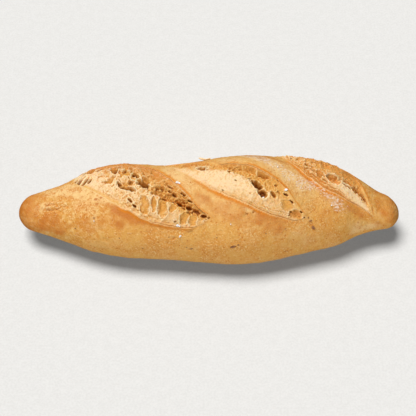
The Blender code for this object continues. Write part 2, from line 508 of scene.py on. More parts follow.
@dataclass(frozen=True)
class Slash:
    """One slash: an open lens on the unrolled skin, and the crumb in it. Ends are (x, arc)."""

    name: str
    front: tuple[float, float]
    back: tuple[float, float]
    low_edge: tuple[float, ...]  # ways in mm from a straight line, at the places in edge_knots
    high_edge: tuple[float, ...]
    rim: float
    flap: tuple[float, ...]  # height of the upper edge along the slash, in mm
    step: tuple[float, ...]  # drop from the crust to the crumb along the lower edge, in mm
    high_step: tuple[float, ...]  # the same along the upper edge
    heights: HeightCage
    furrow: Furrow
    strata: tuple[float, ...]  # how much torn layers show along the lower edge, 0 to 1
    open_crumb: LookCage
    toasted: LookCage
    amber: LookCage
    bowls: tuple[PlacedPore, ...]  # wide bubbles that press against each other
    placed: tuple[PlacedPore, ...]
    pore_count: int
    pore_sizes: tuple[float, float]
    lump: float
    seed: int
    edge_knots: tuple[float, ...] = (0.0, 0.04, 0.10, 0.20, 0.30, 0.40, 0.50, 0.60, 0.70, 0.85, 1.0)
    tear: float = 0.64 * MM  # how far the edges stray from their curves
    rim_reach: float = 1.25 * MM
    flap_reach: float = 12 * MM

    @property
    def length(self) -> float:
        """Way from end to end."""
        return math.dist(self.front, self.back)

    @property
    def run(self) -> np.ndarray:
        """Direction from the front end to the back end."""
        return (np.array(self.back) - np.array(self.front)) / self.length

    @cached_property
    def _edges(self) -> dict[str, np.ndarray]:
        """Shares along the slash, with its edges and their heights there."""
        t = np.linspace(0, 1, 901)
        along = (t * self.length)[:, None]
        tear = self.tear * self.fullness(t)
        knots = np.array(self.edge_knots)
        low = smooth_curve(t, knots, np.array(self.low_edge)) * MM
        high = smooth_curve(t, knots, np.array(self.high_edge)) * MM
        low += tear * noise_at(along, 7 * MM, self.seed + 1, 4)
        high += tear * noise_at(along, 7 * MM, self.seed + 2, 4)
        curves = {}
        for name in ("step", "high_step", "flap", "strata"):
            heights = np.array(getattr(self, name))
            curves[name] = smooth_curve(t, np.linspace(0, 1, len(heights)), heights) * MM
        stands = np.clip(curves["step"] / (0.3 * MM), 0, 1)
        uneven = 1 + 0.5 * noise_at(along, 4 * MM, self.seed + 5, 2)
        curves["rim"] = self.rim * self.fullness(t) * stands * uneven
        return {"t": t, "low": low, "high": high, **curves}

    def _read(self, name: str, t: np.ndarray) -> np.ndarray:
        """Read one of the curves along the slash."""
        return np.interp(t, self._edges["t"], self._edges[name])

    def low(self, t: np.ndarray) -> np.ndarray:
        """Lower edge, as a way across the slash."""
        return self._read("low", t)

    def high(self, t: np.ndarray) -> np.ndarray:
        """Upper edge, as a way across the slash."""
        return self._read("high", t)

    def rim_at(self, t: np.ndarray) -> np.ndarray:
        """Height of the crust's lower edge."""
        return self._read("rim", t)

    def flap_at(self, t: np.ndarray) -> np.ndarray:
        """Height of the crust's upper edge."""
        return self._read("flap", t)

    def strata_at(self, t: np.ndarray) -> np.ndarray:
        """How much torn layers show along the lower edge."""
        return np.clip(self._read("strata", t) / MM, 0, 1)

    def steps_at(self, t: np.ndarray) -> tuple[np.ndarray, np.ndarray]:
        """Drop from the crust to the crumb at the lower and at the upper edge."""
        return self._read("step", t), self._read("high_step", t)

    def fullness(self, t: np.ndarray) -> np.ndarray:
        """1 along most of the slash, falling to 0 at its ends."""
        return np.sin(math.pi * np.clip(t, 0.0, 1.0)) ** 0.7

    def spot(self, t: np.ndarray, across: np.ndarray) -> tuple[np.ndarray, np.ndarray]:
        """Turn a place in the slash into x and arc.

        Args:
            t: Share along the slash.
            across: Way across it, in metres.

        Returns:
            Its x and its arc.
        """
        run = self.run
        x = self.front[0] + t * self.length * run[0] + across * run[1]
        arc = self.front[1] + t * self.length * run[1] - across * run[0]
        return x, arc

    def spot_inside(self, along: float, over: float) -> tuple[float, float]:
        """Find one place inside the slash.

        Args:
            along: Share along the slash.
            over: Share over it, from the lower to the upper edge.

        Returns:
            Its x and its arc.
        """
        t = np.array([along])
        across = self.low(t) + over * (self.high(t) - self.low(t))
        x, arc = self.spot(t, across)
        return float(x[0]), float(arc[0])

    def place(self, x: np.ndarray, arc: np.ndarray) -> tuple[np.ndarray, ...]:
        """Turn x and arc into a place in the slash.

        Args:
            x: Place along the loaf.
            arc: Way along the skin from the top line.

        Returns:
            The share along the slash, the ways in from its lower and its upper edge, and the way
            past its ends.
        """
        run = self.run
        along = (x - self.front[0]) * run[0] + (arc - self.front[1]) * run[1]
        across = (x - self.front[0]) * run[1] - (arc - self.front[1]) * run[0]
        t = along / self.length
        past = np.maximum(np.maximum(-along, along - self.length), 0.0)
        return t, across - self.low(t), self.high(t) - across, past

    def crust_lift(self, x: np.ndarray, arc: np.ndarray) -> np.ndarray:
        """Work out the height that the rim and the flap give the crust round the slash.

        Args:
            x: Place along the loaf.
            arc: Way along the skin from the top line.

        Returns:
            The height in metres.
        """
        t, from_low, from_high, _ = self.place(x, arc)
        beyond_low = np.minimum(from_low, 0) / self.rim_reach
        beyond_high = np.minimum(from_high, 0) / self.flap_reach
        flap_side = smooth_step(-1.2 * MM, 1.2 * MM, from_low - from_high)
        rim = self.rim_at(t) * np.exp(-(beyond_low**2)) * (1 - flap_side)
        return rim + self.flap_at(t) * np.exp(-(beyond_high**2)) * flap_side

    @cached_property
    def pores(self) -> list[Pore]:
        """The placed pores, and the small ones scattered over the open crumb."""
        made = []
        for p in self.placed:
            sizes = (value * MM for value in p[:5])
            made.append(Pore(*sizes, math.radians(p.turn), p.dark, p.brim))
        draws = np.random.default_rng(self.seed).uniform(size=(self.pore_count, 6))
        opened = self.open_crumb.at(draws[:, 0], draws[:, 1])
        small, large = self.pore_sizes
        for (along, over, size, stretch, wanted, turn), is_open in zip(draws, opened):
            if wanted > 0.12 + is_open:
                continue
            radius = small * (large / small) ** (size**1.7 * (0.3 + 0.7 * is_open)) * MM
            depth = radius * (0.45 + 0.6 * is_open)
            # Wider pores get more painted shade.
            dark = 0.75 * min(1.0, radius / MM)
            spot = self.spot_inside(along, 0.03 + 0.94 * over)
            made.append(Pore(*spot, radius * (1 + 0.9 * stretch), radius, depth, -1.3 * turn, dark))
        return made


# --- Meshes --------------------------------------------------------------------------------------


def select_only(thing: bpy.types.Object) -> None:
    """Make one object the only one selected, and the active one.

    Args:
        thing: The object.
    """
    bpy.ops.object.select_all(action="DESELECT")
    thing.select_set(True)
    bpy.context.view_layer.objects.active = thing


def ball(name: str, around: int, along: int) -> bpy.types.Object:
    """Add a unit ball with its poles on Z.

    Args:
        name: The object's name.
        around: Points round it, an even number.
        along: Rings from pole to pole, an even number.

    Returns:
        The new object.
    """
    bpy.ops.object.select_all(action="DESELECT")
    bpy.ops.mesh.primitive_uv_sphere_add(segments=around // 2, ring_count=along // 2, radius=1.0)
    made = bpy.context.object
    made.name = name
    made.data.name = name
    bpy.ops.object.mode_set(mode="EDIT")
    bpy.ops.mesh.select_all(action="SELECT")
    bpy.ops.mesh.subdivide(number_cuts=1)
    bpy.ops.object.mode_set(mode="OBJECT")
    return made


def read_points(thing: bpy.types.Object) -> np.ndarray:
    """Read where the object's points are.

    Args:
        thing: The object.

    Returns:
        One row for each point.
    """
    flat = np.empty(len(thing.data.vertices) * 3)
    thing.data.vertices.foreach_get("co", flat)
    return flat.reshape(-1, 3)


def ball_places(thing: bpy.types.Object) -> tuple[np.ndarray, np.ndarray]:
    """Where the points of a ball lie.

    Args:
        thing: The ball, as it was added.

    Returns:
        The share of the way from the top pole to the bottom one, and the share of a turn from +X.
    """
    points = read_points(thing)
    points /= np.linalg.norm(points, axis=1, keepdims=True)
    polar = np.arccos(np.clip(points[:, 2], -1, 1)) / math.pi
    return polar, (np.arctan2(points[:, 1], points[:, 0]) / (2 * math.pi)) % 1.0


def write_points(thing: bpy.types.Object, points: np.ndarray) -> None:
    """Move the object's points, and turn its faces outwards.

    Args:
        thing: The object.
        points: One row for each point.
    """
    thing.data.vertices.foreach_set("co", points.astype(np.float32).ravel())
    thing.data.update()
    select_only(thing)
    bpy.ops.object.mode_set(mode="EDIT")
    bpy.ops.mesh.select_all(action="SELECT")
    bpy.ops.mesh.normals_make_consistent(inside=False)
    bpy.ops.object.mode_set(mode="OBJECT")


def write_attribute(thing: bpy.types.Object, name: str, values: np.ndarray) -> None:
    """Keep one number for each point under a name that a material reads."""
    made = thing.data.attributes.new(name, "FLOAT", "POINT")
    made.data.foreach_set("value", np.clip(values, 0.0, 1.0).astype(np.float32))


def write_relief(thing: bpy.types.Object, fine: int, broad: int) -> None:
    """Keep how far each point stands out from the surface round it, 0.5 where it doesn't.

    "crest" is for the near surface and "stand" for the wider one.

    Args:
        thing: The object, with its points in place.
        fine: Rounds of smoothing for the near surface.
        broad: Rounds of smoothing for the wider one.
    """
    mesh = thing.data
    points = read_points(thing)
    ends = np.empty(len(mesh.edges) * 2, dtype=np.int32)
    mesh.edges.foreach_get("vertices", ends)
    first, second = ends.reshape(-1, 2).T
    normals = np.empty(len(points) * 3)
    mesh.vertex_normals.foreach_get("vector", normals)
    count = np.bincount(ends, minlength=len(points))[:, None]
    eased = points.copy()
    for done in range(1, broad + 1):
        sums = [
            np.bincount(first, eased[second, axis], len(points))
            + np.bincount(second, eased[first, axis], len(points))
            for axis in range(3)
        ]
        eased = 0.4 * eased + 0.6 * np.stack(sums, axis=-1) / count
        if done in (fine, broad):
            out = ((points - eased) * normals.reshape(-1, 3)).sum(axis=-1)
            name, most = ("crest", CREST_MOST) if done == fine else ("stand", STAND_MOST)
            write_attribute(thing, name, 0.5 + 0.5 * out / most)


def dress(piece: bpy.types.Object, material: bpy.types.Material, sharp: float) -> None:
    """Give a finished piece its material, its shading and its place in the frame.

    Args:
        piece: The piece.
        material: Its finish.
        sharp: Edges sharper than this, in degrees, stay crisp.
    """
    piece.data.materials.clear()
    piece.data.materials.append(material)
    select_only(piece)
    bpy.ops.object.shade_smooth_by_angle(angle=math.radians(sharp))
    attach(piece, BODY)
    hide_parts(NODE)
    triangles = sum(len(face.vertices) - 2 for face in piece.data.polygons)
    log.info("%s: %d triangles", piece.name, triangles)


# --- Materials -----------------------------------------------------------------------------------


class Shade:
    """A number inside a material. An expression on it adds Math nodes."""

    def __init__(self, graph: "Graph", socket: bpy.types.NodeSocket) -> None:
        """Wrap a socket of a graph."""
        self.graph = graph
        self.socket = socket

    def _with(self, operation: str, first: "Shade | float", second: "Shade | float") -> "Shade":
        """Add one Math node."""
        return self.graph.number("ShaderNodeMath", {"operation": operation}, {0: first, 1: second})

    def __add__(self, other: "Shade | float") -> "Shade":
        """Sum."""
        return self._with("ADD", self, other)

    def __radd__(self, other: float) -> "Shade":
        """Sum, reflected."""
        return self._with("ADD", other, self)

    def __sub__(self, other: "Shade | float") -> "Shade":
        """Difference."""
        return self._with("SUBTRACT", self, other)

    def __rsub__(self, other: float) -> "Shade":
        """Difference, reflected."""
        return self._with("SUBTRACT", other, self)

    def __mul__(self, other: "Shade | float") -> "Shade":
        """Product."""
        return self._with("MULTIPLY", self, other)

    def __rmul__(self, other: float) -> "Shade":
        """Product, reflected."""
        return self._with("MULTIPLY", other, self)

    def between(self, low: float, high: float) -> "Shade":
        """Rise smoothly from 0 at low to 1 at high, or fall where low is the larger.

        Args:
            low: Where the result is 0.
            high: Where the result is 1.

        Returns:
            The new number, from 0 to 1.
        """
        ends = (low, high, 0.0, 1.0) if low < high else (high, low, 1.0, 0.0)
        sockets = dict(zip((1, 2, 3, 4), ends))
        return self.graph.number(
            "ShaderNodeMapRange", {"interpolation_type": "SMOOTHSTEP"}, {0: self, **sockets}
        )


Triple = tuple[float, float, float]
Colour = Triple


class Graph:
    """The nodes of one material, ending in a Principled shader."""

    def __init__(self, name: str) -> None:
        """Start a material with its shader only.

        Args:
            name: The material's name.
        """
        self.material = bpy.data.materials.new(name)
        self.material.use_nodes = True
        self.tree = self.material.node_tree
        self.shader = self.tree.nodes["Principled BSDF"]
        self.place = self.node("ShaderNodeTexCoord", {}, {}).outputs["Object"]

    def node(self, kind: str, settings: dict, sockets: dict) -> bpy.types.Node:
        """Add one node.

        Args:
            kind: The node's type.
            settings: Its properties, set first.
            sockets: Values, links or Shades for its inputs, by name or number.

        Returns:
            The node.
        """
        made = self.tree.nodes.new(kind)
        for name, value in settings.items():
            setattr(made, name, value)
        for key, value in sockets.items():
            self.feed(made.inputs[key], value)
        return made

    def feed(self, socket: bpy.types.NodeSocket, value: object) -> None:
        """Link a socket, or set its value.

        Args:
            socket: The socket to feed.
            value: A Shade or an output to link, or a number, a colour or a vector.
        """
        if isinstance(value, Shade):
            self.tree.links.new(value.socket, socket)
        elif isinstance(value, bpy.types.NodeSocket):
            self.tree.links.new(value, socket)
        elif isinstance(value, tuple) and socket.type == "RGBA":
            socket.default_value = (*value, 1.0)
        else:
            socket.default_value = value

    def number(self, kind: str, settings: dict, sockets: dict) -> Shade:
        """Add one node and wrap its first output."""
        return Shade(self, self.node(kind, settings, sockets).outputs[0])

    def attribute(self, name: str) -> Shade:
        """A number kept on the mesh."""
        made = self.node("ShaderNodeAttribute", {"attribute_name": name}, {})
        return Shade(self, made.outputs["Fac"])

    def noise(self, size: float, detail: float, stretch: Triple = (1, 1, 1)) -> Shade:
        """Noise with lumps of a size in metres, about 0.3 to 0.7.

        Args:
            size: Spacing of the lumps.
            detail: How many finer layers it has.
            stretch: How much closer the lumps lie along each axis.

        Returns:
            The noise.
        """
        mapping = self.node("ShaderNodeMapping", {}, {"Vector": self.place, "Scale": stretch})
        sockets = {"Vector": mapping.outputs[0], "Scale": 1 / size, "Detail": detail}
        return self.number("ShaderNodeTexNoise", {}, sockets)

    def cells(self, size: float) -> Shade:
        """Way to the nearest of scattered points, as a share of their spacing in metres."""
        return self.number("ShaderNodeTexVoronoi", {}, {"Vector": self.place, "Scale": 1 / size})

    def mix(self, factor: "Shade | float", first: object, second: object) -> bpy.types.NodeSocket:
        """Colour part way from the first to the second."""
        sockets = {"Factor": factor, 6: first, 7: second}
        return self.node("ShaderNodeMix", {"data_type": "RGBA"}, sockets).outputs[2]

    def bump(self, height: Shade, distance: float) -> None:
        """Roughen the shader's normal by a height, in metres for a height of 1."""
        made = self.node("ShaderNodeBump", {}, {"Height": height, "Distance": distance})
        self.feed(self.shader.inputs["Normal"], made.outputs[0])

    def soften(self, weight: float, radius: Triple, scale: float) -> None:
        """Let light soak in, as it does in dough.

        Args:
            weight: How much of the light soaks in, 0 to 1.
            radius: How far each of red, green and blue goes, as shares of the scale.
            scale: The way in metres.
        """
        self.shader.inputs["Subsurface Weight"].default_value = weight
        self.shader.inputs["Subsurface Radius"].default_value = radius
        self.shader.inputs["Subsurface Scale"].default_value = scale

    def finish(
        self, colour: bpy.types.NodeSocket, roughness: "Shade | float", shine: float
    ) -> bpy.types.Material:
        """Give the shader its colour, its roughness and its shine.

        Args:
            colour: The surface's colour.
            roughness: How dull it is.
            shine: How strongly it reflects, 0.5 for most things.

        Returns:
            The finished material.
        """
        self.feed(self.shader.inputs["Base Color"], colour)
        self.feed(self.shader.inputs["Roughness"], roughness)
        self.shader.inputs["Specular IOR Level"].default_value = shine
        return self.material


@dataclass(frozen=True)
class CrustFinish:
    """Baked crust: golden, mottled, browned where it stood out in the oven, dusted with flour; painted
    light on top, low down and on ridges, painted shade in creases and near the floor.
    """

    gold: Colour = (0.765, 0.390, 0.088)
    deep: Colour = (0.67, 0.235, 0.026)
    light: Colour = (0.94, 0.66, 0.29)
    # Also the painted light on top and low on the sides.
    pale: Colour = (0.90, 0.58, 0.25)
    # Also the painted shade in creases and near the floor.
    toast_and_shade: Colour = (0.58, 0.175, 0.022)
    band: Colour = (0.74, 0.235, 0.014)
    flour: Colour = (0.93, 0.78, 0.62)
    # Also the painted highlights on ridges.
    lip: Colour = (0.96, 0.72, 0.37)
    inside: Colour = (0.80, 0.45, 0.15)
    roughness: float = 0.60
    shine: float = 0.20

    def make(self) -> bpy.types.Material:
        """Build the material.

        Returns:
            The finished material.
        """
        graph = Graph("baked_crust")
        broad = graph.noise(14 * MM, 3.0)
        blotch = graph.noise(3.8 * MM, 3.0)
        mottle = graph.noise(1.5 * MM, 3.0)
        fine = graph.noise(0.75 * MM, 2.0)
        streaks = graph.noise(0.8 * MM, 4.0, (0.6, 1.0, 1.0))
        speckle = graph.cells(2.1 * MM)
        pits = graph.cells(2.4 * MM)
        crest = graph.attribute("crest")
        lively = graph.attribute("lively")
        toast_and_shade = graph.attribute("toast_and_shade")
        rough = broad.between(0.40, 0.60) * 0.5 + blotch.between(0.42, 0.60) * 0.5
        toasted = (toast_and_shade * 1.2 + blotch * 0.8 + mottle * 0.6 - 0.7).between(0.0, 1.0)
        band = (graph.attribute("band") * 1.5 + mottle * 0.8 - 0.55).between(0.0, 1.0)
        dust = (graph.attribute("flour") + streaks * 3.4 + blotch * 0.5 - 2.60).between(0.0, 1.2)
        layers = (
            # The even bake, with painted light paler on top and low on the sides, and large and small
            # mottling.
            ((graph.attribute("pale") + broad - 0.5).between(0.0, 1.0) * 0.8, self.pale),
            (blotch.between(0.50, 0.64) * (lively * 0.35 + 0.20), self.deep),
            (blotch.between(0.47, 0.36) * (lively * 0.25 + 0.12), self.light),
            (mottle.between(0.47, 0.34) * (lively * 0.35 + 0.28), self.deep),
            (mottle.between(0.54, 0.66) * (lively * 0.30 + 0.14), self.light),
            (fine.between(0.45, 0.33) * rough * 0.8, self.deep),
            (fine.between(0.55, 0.66) * rough * 0.9, self.light),
            # Pale blisters and brown pits.
            (speckle.between(0.26, 0.12) * blotch.between(0.50, 0.40) * 0.6, self.light),
            (pits.between(0.24, 0.10) * blotch.between(0.41, 0.52) * 0.9, self.toast_and_shade),
            # Browned areas with painted shade near the floor, painted shade in creases, and the bands
            # beside the slashes.
            (toasted * 0.85, self.toast_and_shade),
            (crest.between(0.44, 0.15) * 0.6, self.toast_and_shade),
            (band * 0.9, self.band),
            # Flour, then the thin edges, painted highlights on ridges and the torn sides of the slashes.
            (dust * 0.85, self.flour),
            (graph.attribute("lip") * (mottle * 0.8 + 0.5), self.lip),
            (crest.between(0.62, 0.95) * lively * 0.5, self.lip),
            (graph.attribute("inner"), self.inside),
        )
        colour = graph.mix(broad.between(0.42, 0.62) * 0.4, self.gold, self.deep)
        for mask, tint in layers:
            colour = graph.mix(mask, colour, tint)
        graph.bump(fine * 0.8 + mottle * 0.9 + blotch * 0.6, 0.40 * MM)
        graph.soften(0.06, (1.0, 0.45, 0.18), 0.8 * MM)
        return graph.finish(colour, self.roughness - 0.12 * toasted + 0.25 * dust, self.shine)


@dataclass(frozen=True)
class CrumbFinish:
    """Open crumb: cream where it swelled, amber where it was stretched, painted brown shade in its holes,
    folds and furrow, painted highlights on its ridges.
    """

    cream: Colour = (0.92, 0.655, 0.365)
    amber: Colour = (0.73, 0.355, 0.075)
    # Toasted crumb, and painted shade in bowls and folds.
    toast_and_shade: Colour = (0.62, 0.215, 0.036)
    # Painted shade in folds and holes.
    cave_shade: Colour = (0.56, 0.235, 0.036)
    hole: Colour = (0.23, 0.065, 0.006)
    # Painted highlights on ridges.
    light: Colour = (0.97, 0.75, 0.43)
    straw: Colour = (0.86, 0.54, 0.18)
    crust: Colour = (0.83, 0.48, 0.16)
    roughness: float = 0.55
    shine: float = 0.20

    def make(self) -> bpy.types.Material:
        """Build the material.

        Returns:
            The finished material.
        """
        graph = Graph("open_crumb")
        patch = graph.noise(5 * MM, 3.0)
        blotch = graph.noise(2.2 * MM, 3.0)
        mottle = graph.noise(1.1 * MM, 3.0)
        grain = graph.noise(0.8 * MM, 2.0)
        crest = graph.attribute("crest")
        stand = graph.attribute("stand")
        # Less amber on broad rises and more in broad dips: painted light and shade. The amber mask also
        # holds painted shade in hollows and the furrow.
        stretched = graph.attribute("amber") + patch * 0.6 + blotch * 0.5 - stand * 0.9 - 0.1
        amber = stretched.between(0.0, 1.0)
        toast_and_shade = (graph.attribute("toast_and_shade") + mottle * 0.9 + blotch * 0.8 - 0.85).between(0.2, 1.0)
        skin = (graph.attribute("skin") * 1.2 + mottle * 0.6 - 0.3).between(0.0, 1.0)
        ridge_highlight = (crest + grain * 0.2 - 0.1).between(0.52, 0.85) * (0.7 - 0.5 * toast_and_shade)
        hole = (graph.attribute("hole") + mottle * 0.3 - 0.15).between(0.05, 1.0)
        layers = (
            (blotch.between(0.52, 0.68) * 0.30, self.amber),
            (toast_and_shade * 0.85, self.toast_and_shade),
            (grain.between(0.56, 0.68) * 0.25, self.toast_and_shade),
            (mottle.between(0.54, 0.66) * 0.35, self.amber),
            # Baked like the crust where it lies flush with it.
            (skin, graph.mix(mottle.between(0.40, 0.60) * 0.6, self.crust, self.amber)),
            # Painted shade in folds and painted highlights on ridges.
            (crest.between(0.46, 0.10) * 0.70, graph.mix(amber, self.toast_and_shade, self.cave_shade)),
            (ridge_highlight, graph.mix(amber, self.light, self.straw)),
            # Painted shade in holes, darkest where they are deepest.
            (hole.between(0.0, 0.5) * 0.7, self.cave_shade),
            ((hole * 1.1 - stand * 0.8 + 0.2).between(0.3, 0.9) * 0.9, self.hole),
        )
        colour = graph.mix(amber, self.cream, self.amber)
        for mask, tint in layers:
            colour = graph.mix(mask, colour, tint)
        graph.bump(mottle * 0.8 + grain * 0.6, 0.40 * MM)
        graph.soften(0.12, (1.0, 0.45, 0.15), 1.1 * MM)
        return graph.finish(colour, self.roughness + 0.2 * mottle, self.shine)


@dataclass(frozen=True)
class SpeckFinish:
    """Plain small grains, such as salt or bran, with a slight change of colour through them."""

    name: str
    colour: Colour
    other: Colour
    roughness: float
    shine: float = 0.3

    def make(self) -> bpy.types.Material:
        """Build the material.

        Returns:
            The finished material.
        """
        graph = Graph(self.name)
        shift = graph.noise(0.8 * MM, 2.0)
        colour = graph.mix(shift.between(0.4, 0.6), self.colour, self.other)
        return graph.finish(colour, self.roughness + 0.15 * shift, self.shine)


@dataclass(frozen=True)
class PaperFinish:
    """Pale, faintly uneven paper for the floor."""

    light: Colour = (0.83, 0.82, 0.795)
    dark: Colour = (0.76, 0.75, 0.725)
    roughness: float = 0.9
    shine: float = 0.1

    def make(self) -> bpy.types.Material:
        """Build the material.

        Returns:
            The finished material.
        """
        graph = Graph("floor_paper")
        grain = graph.noise(1.1 * MM, 4.0) * 0.7 + graph.noise(4 * MM, 3.0) * 0.3
        colour = graph.mix(grain.between(0.3, 0.7), self.dark, self.light)
        return graph.finish(colour, self.roughness, self.shine)


# --- The pieces ----------------------------------------------------------------------------------


class BubbleSize(NamedTuple):
    """Torn bubbles of one size in the crumb."""

    spacing: float
    depth: float
    seed: int


@dataclass
class CrumbPillow:
    """The crumb in one slash: a closed pillow, finely shaped on top and plain underneath."""

    form: LoafForm
    slash: Slash
    around: int = 250
    along: int = 372
    top_share: float = 0.84
    tuck: float = 0.6 * MM
    depth: float = 7.0 * MM
    blend: float = 3.0 * MM
    fine: float = 0.13 * MM
    bubble_sizes: tuple[BubbleSize, ...] = (
        BubbleSize(4.4 * MM, 2.3 * MM, 31),
        BubbleSize(2.1 * MM, 1.1 * MM, 47),
        BubbleSize(1.1 * MM, 0.4 * MM, 59),
    )

    def build(self, material: bpy.types.Material) -> bpy.types.Object:
        """Make the piece.

        Args:
            material: Its finish.

        Returns:
            The finished piece.
        """
        slash = self.slash
        piece = ball(f"crumb_{slash.name}", self.around, self.along)
        polar, turn = ball_places(piece)
        t = 0.7 * polar + 0.3 * (1 - np.cos(polar * math.pi)) / 2
        is_top = turn <= self.top_share
        over = np.where(is_top, turn / self.top_share, (1 - turn) / (1 - self.top_share))
        low = slash.low(t) - self.tuck * slash.fullness(t)
        high = slash.high(t) + self.tuck * slash.fullness(t)
        across = low + over * (high - low)
        x, arc = slash.spot(t, across)
        height, masks = self.relief(t, across)
        under = -self.depth * slash.fullness(t) - 0.8 * MM
        write_points(piece, self.form.above(x, arc, np.where(is_top, height, under)))
        for name, values in masks.items():
            write_attribute(piece, name, values)
        write_relief(piece, fine=9, broad=90)
        dress(piece, material, sharp=180)
        return piece

    def relief(self, t: np.ndarray, across: np.ndarray) -> tuple[np.ndarray, dict[str, np.ndarray]]:
        """Work out the crumb's height over the skin and the masks of its colours.

        Args:
            t: Share along the slash.
            across: Way across it, in metres.

        Returns:
            The heights, and the masks by name.
        """
        slash = self.slash
        x, arc = slash.spot(t, across)
        flat = np.stack([x, arc], axis=-1)
        fullness = slash.fullness(t)
        width = np.maximum(slash.high(t) - slash.low(t), 0.01 * MM)
        u = np.clip((across - slash.low(t)) / width, 0, 1)
        from_low = across - slash.low(t)
        from_high = slash.high(t) - across
        inwards = np.minimum(from_low, from_high)
        inner = smooth_step(0, 1.6 * MM, inwards) * np.sqrt(fullness)
        opened = np.clip(slash.open_crumb.at(t, u), 0, 1)
        warp = noise_at(flat, 3.0 * MM, slash.seed + 3, 3)

        # The broad form, and on it all that the tearing left: lumps, bubbles, bowls and layers.
        rim = slash.rim_at(t)
        furrow = slash.furrow.height(slash, t, across, warp)
        base = rim + (slash.flap_at(t) - rim) * u + slash.heights.at(t, u) * MM * fullness + furrow
        bowls, in_bowl, bowl_shade = bowl_depths(slash.bowls, x, arc, warp)
        opened *= 1 - 0.8 * in_bowl
        lumps = slash.lump * (0.25 + 0.75 * opened) * noise_at(flat, 4.5 * MM, slash.seed + 4, 2)
        bubbles, bubble_shade = self._bubbles(flat, opened, warp)
        sunk, hole = pore_depths(slash.pores, x, arc, warp)
        fine = self.fine * (0.8 + opened) * noise_at(flat, 1.2 * MM, slash.seed + 5, 3)
        layers = slash.strata_at(t) * smooth_step(4.2 * MM, 2.2 * MM, from_low)
        torn = noise_at(np.stack([t * slash.length / 5, from_low], axis=-1), 1.3 * MM, slash.seed + 7, 2)
        wave = np.clip(np.cos(from_low / (0.26 * MM) + 3.2 * warp) + 0.9 * torn, -1, 1)
        detail = lumps * (1 - in_bowl) + bubbles + bowls + 0.32 * MM * layers * wave
        height = base + (detail + fine) * (0.1 + 0.9 * inner)

        # Near its edges it stays below the crust, or flush with it where there is no step.
        low_step, high_step = slash.steps_at(t)
        low_brink = rim - low_step
        high_brink = slash.flap_at(t) - high_step
        height = np.minimum(height, low_brink + np.maximum(from_low, 0) * 0.9)
        height = np.minimum(height, high_brink + np.maximum(from_high, 0) * 0.6)
        flush_low = smooth_step(0.25 * MM, 0.0, low_step) * smooth_step(2.6 * MM, 0.4 * MM, from_low)
        flush_high = smooth_step(0.25 * MM, 0.0, high_step) * smooth_step(2.6 * MM, 0.4 * MM, from_high)
        height += (low_brink - height) * flush_low
        height += (high_brink - height) * flush_high
        sunk *= (1 - 0.7 * in_bowl) * smooth_step(0, 0.6 * MM, inwards)
        height += sunk
        height -= 1.3 * (np.maximum(-from_low, 0) + np.maximum(-from_high, 0))
        height += self.form.swell(x, self.form.angle(x, arc))

        # Painted shade: the colours follow the form, darker in hollows, pores, bubbles, bowls and the
        # furrow, and the torn layers lighter where they stand up.
        hollow_shade = smooth_step(0.15, 1.6, -(detail + sunk) / MM) * (1 - 0.6 * in_bowl)
        furrow_shade = smooth_step(0.8, 4.2, -furrow / MM)
        streak = 0.5 + 0.8 * noise_at(flat, 2.6 * MM, slash.seed + 6, 2)
        masks = {
            "hole": np.maximum(hole * 0.9, bubble_shade) + 0.45 * furrow_shade * streak,
            "toast_and_shade": slash.toasted.at(t, u) - 0.3 * layers * wave + bowl_shade,
            "amber": slash.amber.at(t, u) + 0.55 * hollow_shade + 0.5 * furrow_shade + 0.1 * in_bowl,
            "skin": np.maximum(self._skinned(low_step, from_low), self._skinned(high_step, from_high)),
        }
        return height, masks

    def _skinned(self, step: np.ndarray, inwards: np.ndarray) -> np.ndarray:
        """How far the crumb looks like crust near an edge that it lies flush with."""
        return smooth_step(0.3 * MM, 0.0, step) * smooth_step(self.blend, 0.2 * MM, inwards)

    def _bubbles(
        self, flat: np.ndarray, opened: np.ndarray, warp: np.ndarray
    ) -> tuple[np.ndarray, np.ndarray]:
        """Work out the torn bubbles, big and small.

        Args:
            flat: Places on the unrolled skin, one row each.
            opened: How open the crumb is there, 0 to 1.
            warp: Makes the outlines uneven, about -1 to 1.

        Returns:
            The height that they add, and how much painted shade each place gets in a deep bubble.
        """
        run = self.slash.run
        along = flat @ run
        across = flat @ np.array([run[1], -run[0]])
        bent = np.stack([along / 1.5 + 0.9 * MM * warp, across + 0.9 * MM * warp], axis=-1)
        height = np.zeros(len(flat))
        hole = np.zeros(len(flat))
        for size in self.bubble_sizes:
            wall, own = foam_at(bent / size.spacing, self.slash.seed + size.seed)
            bowl = smooth_step(0.03, 0.50, wall) * own**2.2 * opened**1.3
            height -= size.depth * bowl
            height += 0.14 * size.depth * smooth_step(0.16, 0.0, wall) * opened
            hole = np.maximum(hole, smooth_step(0.30, 0.95, bowl))
        return height, hole


class Patch(NamedTuple):
    """One area of the crust with a look of its own, placed and sized in millimetres."""

    x: float
    arc: float
    half_length: float
    half_width: float
    turn: float  # degrees, from the loaf's length to the back
    strength: float

    def spread(self, x: np.ndarray, arc: np.ndarray, warp: np.ndarray) -> np.ndarray:
        """Work out how much of the look each point has.

        Args:
            x: Place of each point along the loaf.
            arc: Its way along the skin from the top line.
            warp: Makes the outline uneven, about -1 to 1.

        Returns:
            One share for each point.
        """
        dx = x / MM - self.x
        da = arc / MM - self.arc
        turn = math.radians(self.turn)
        way = oval_way(dx, da, self.half_length, self.half_width, turn) + PATCH_STRAY * warp
        return self.strength * smooth_step(1.15, 0.35, way)


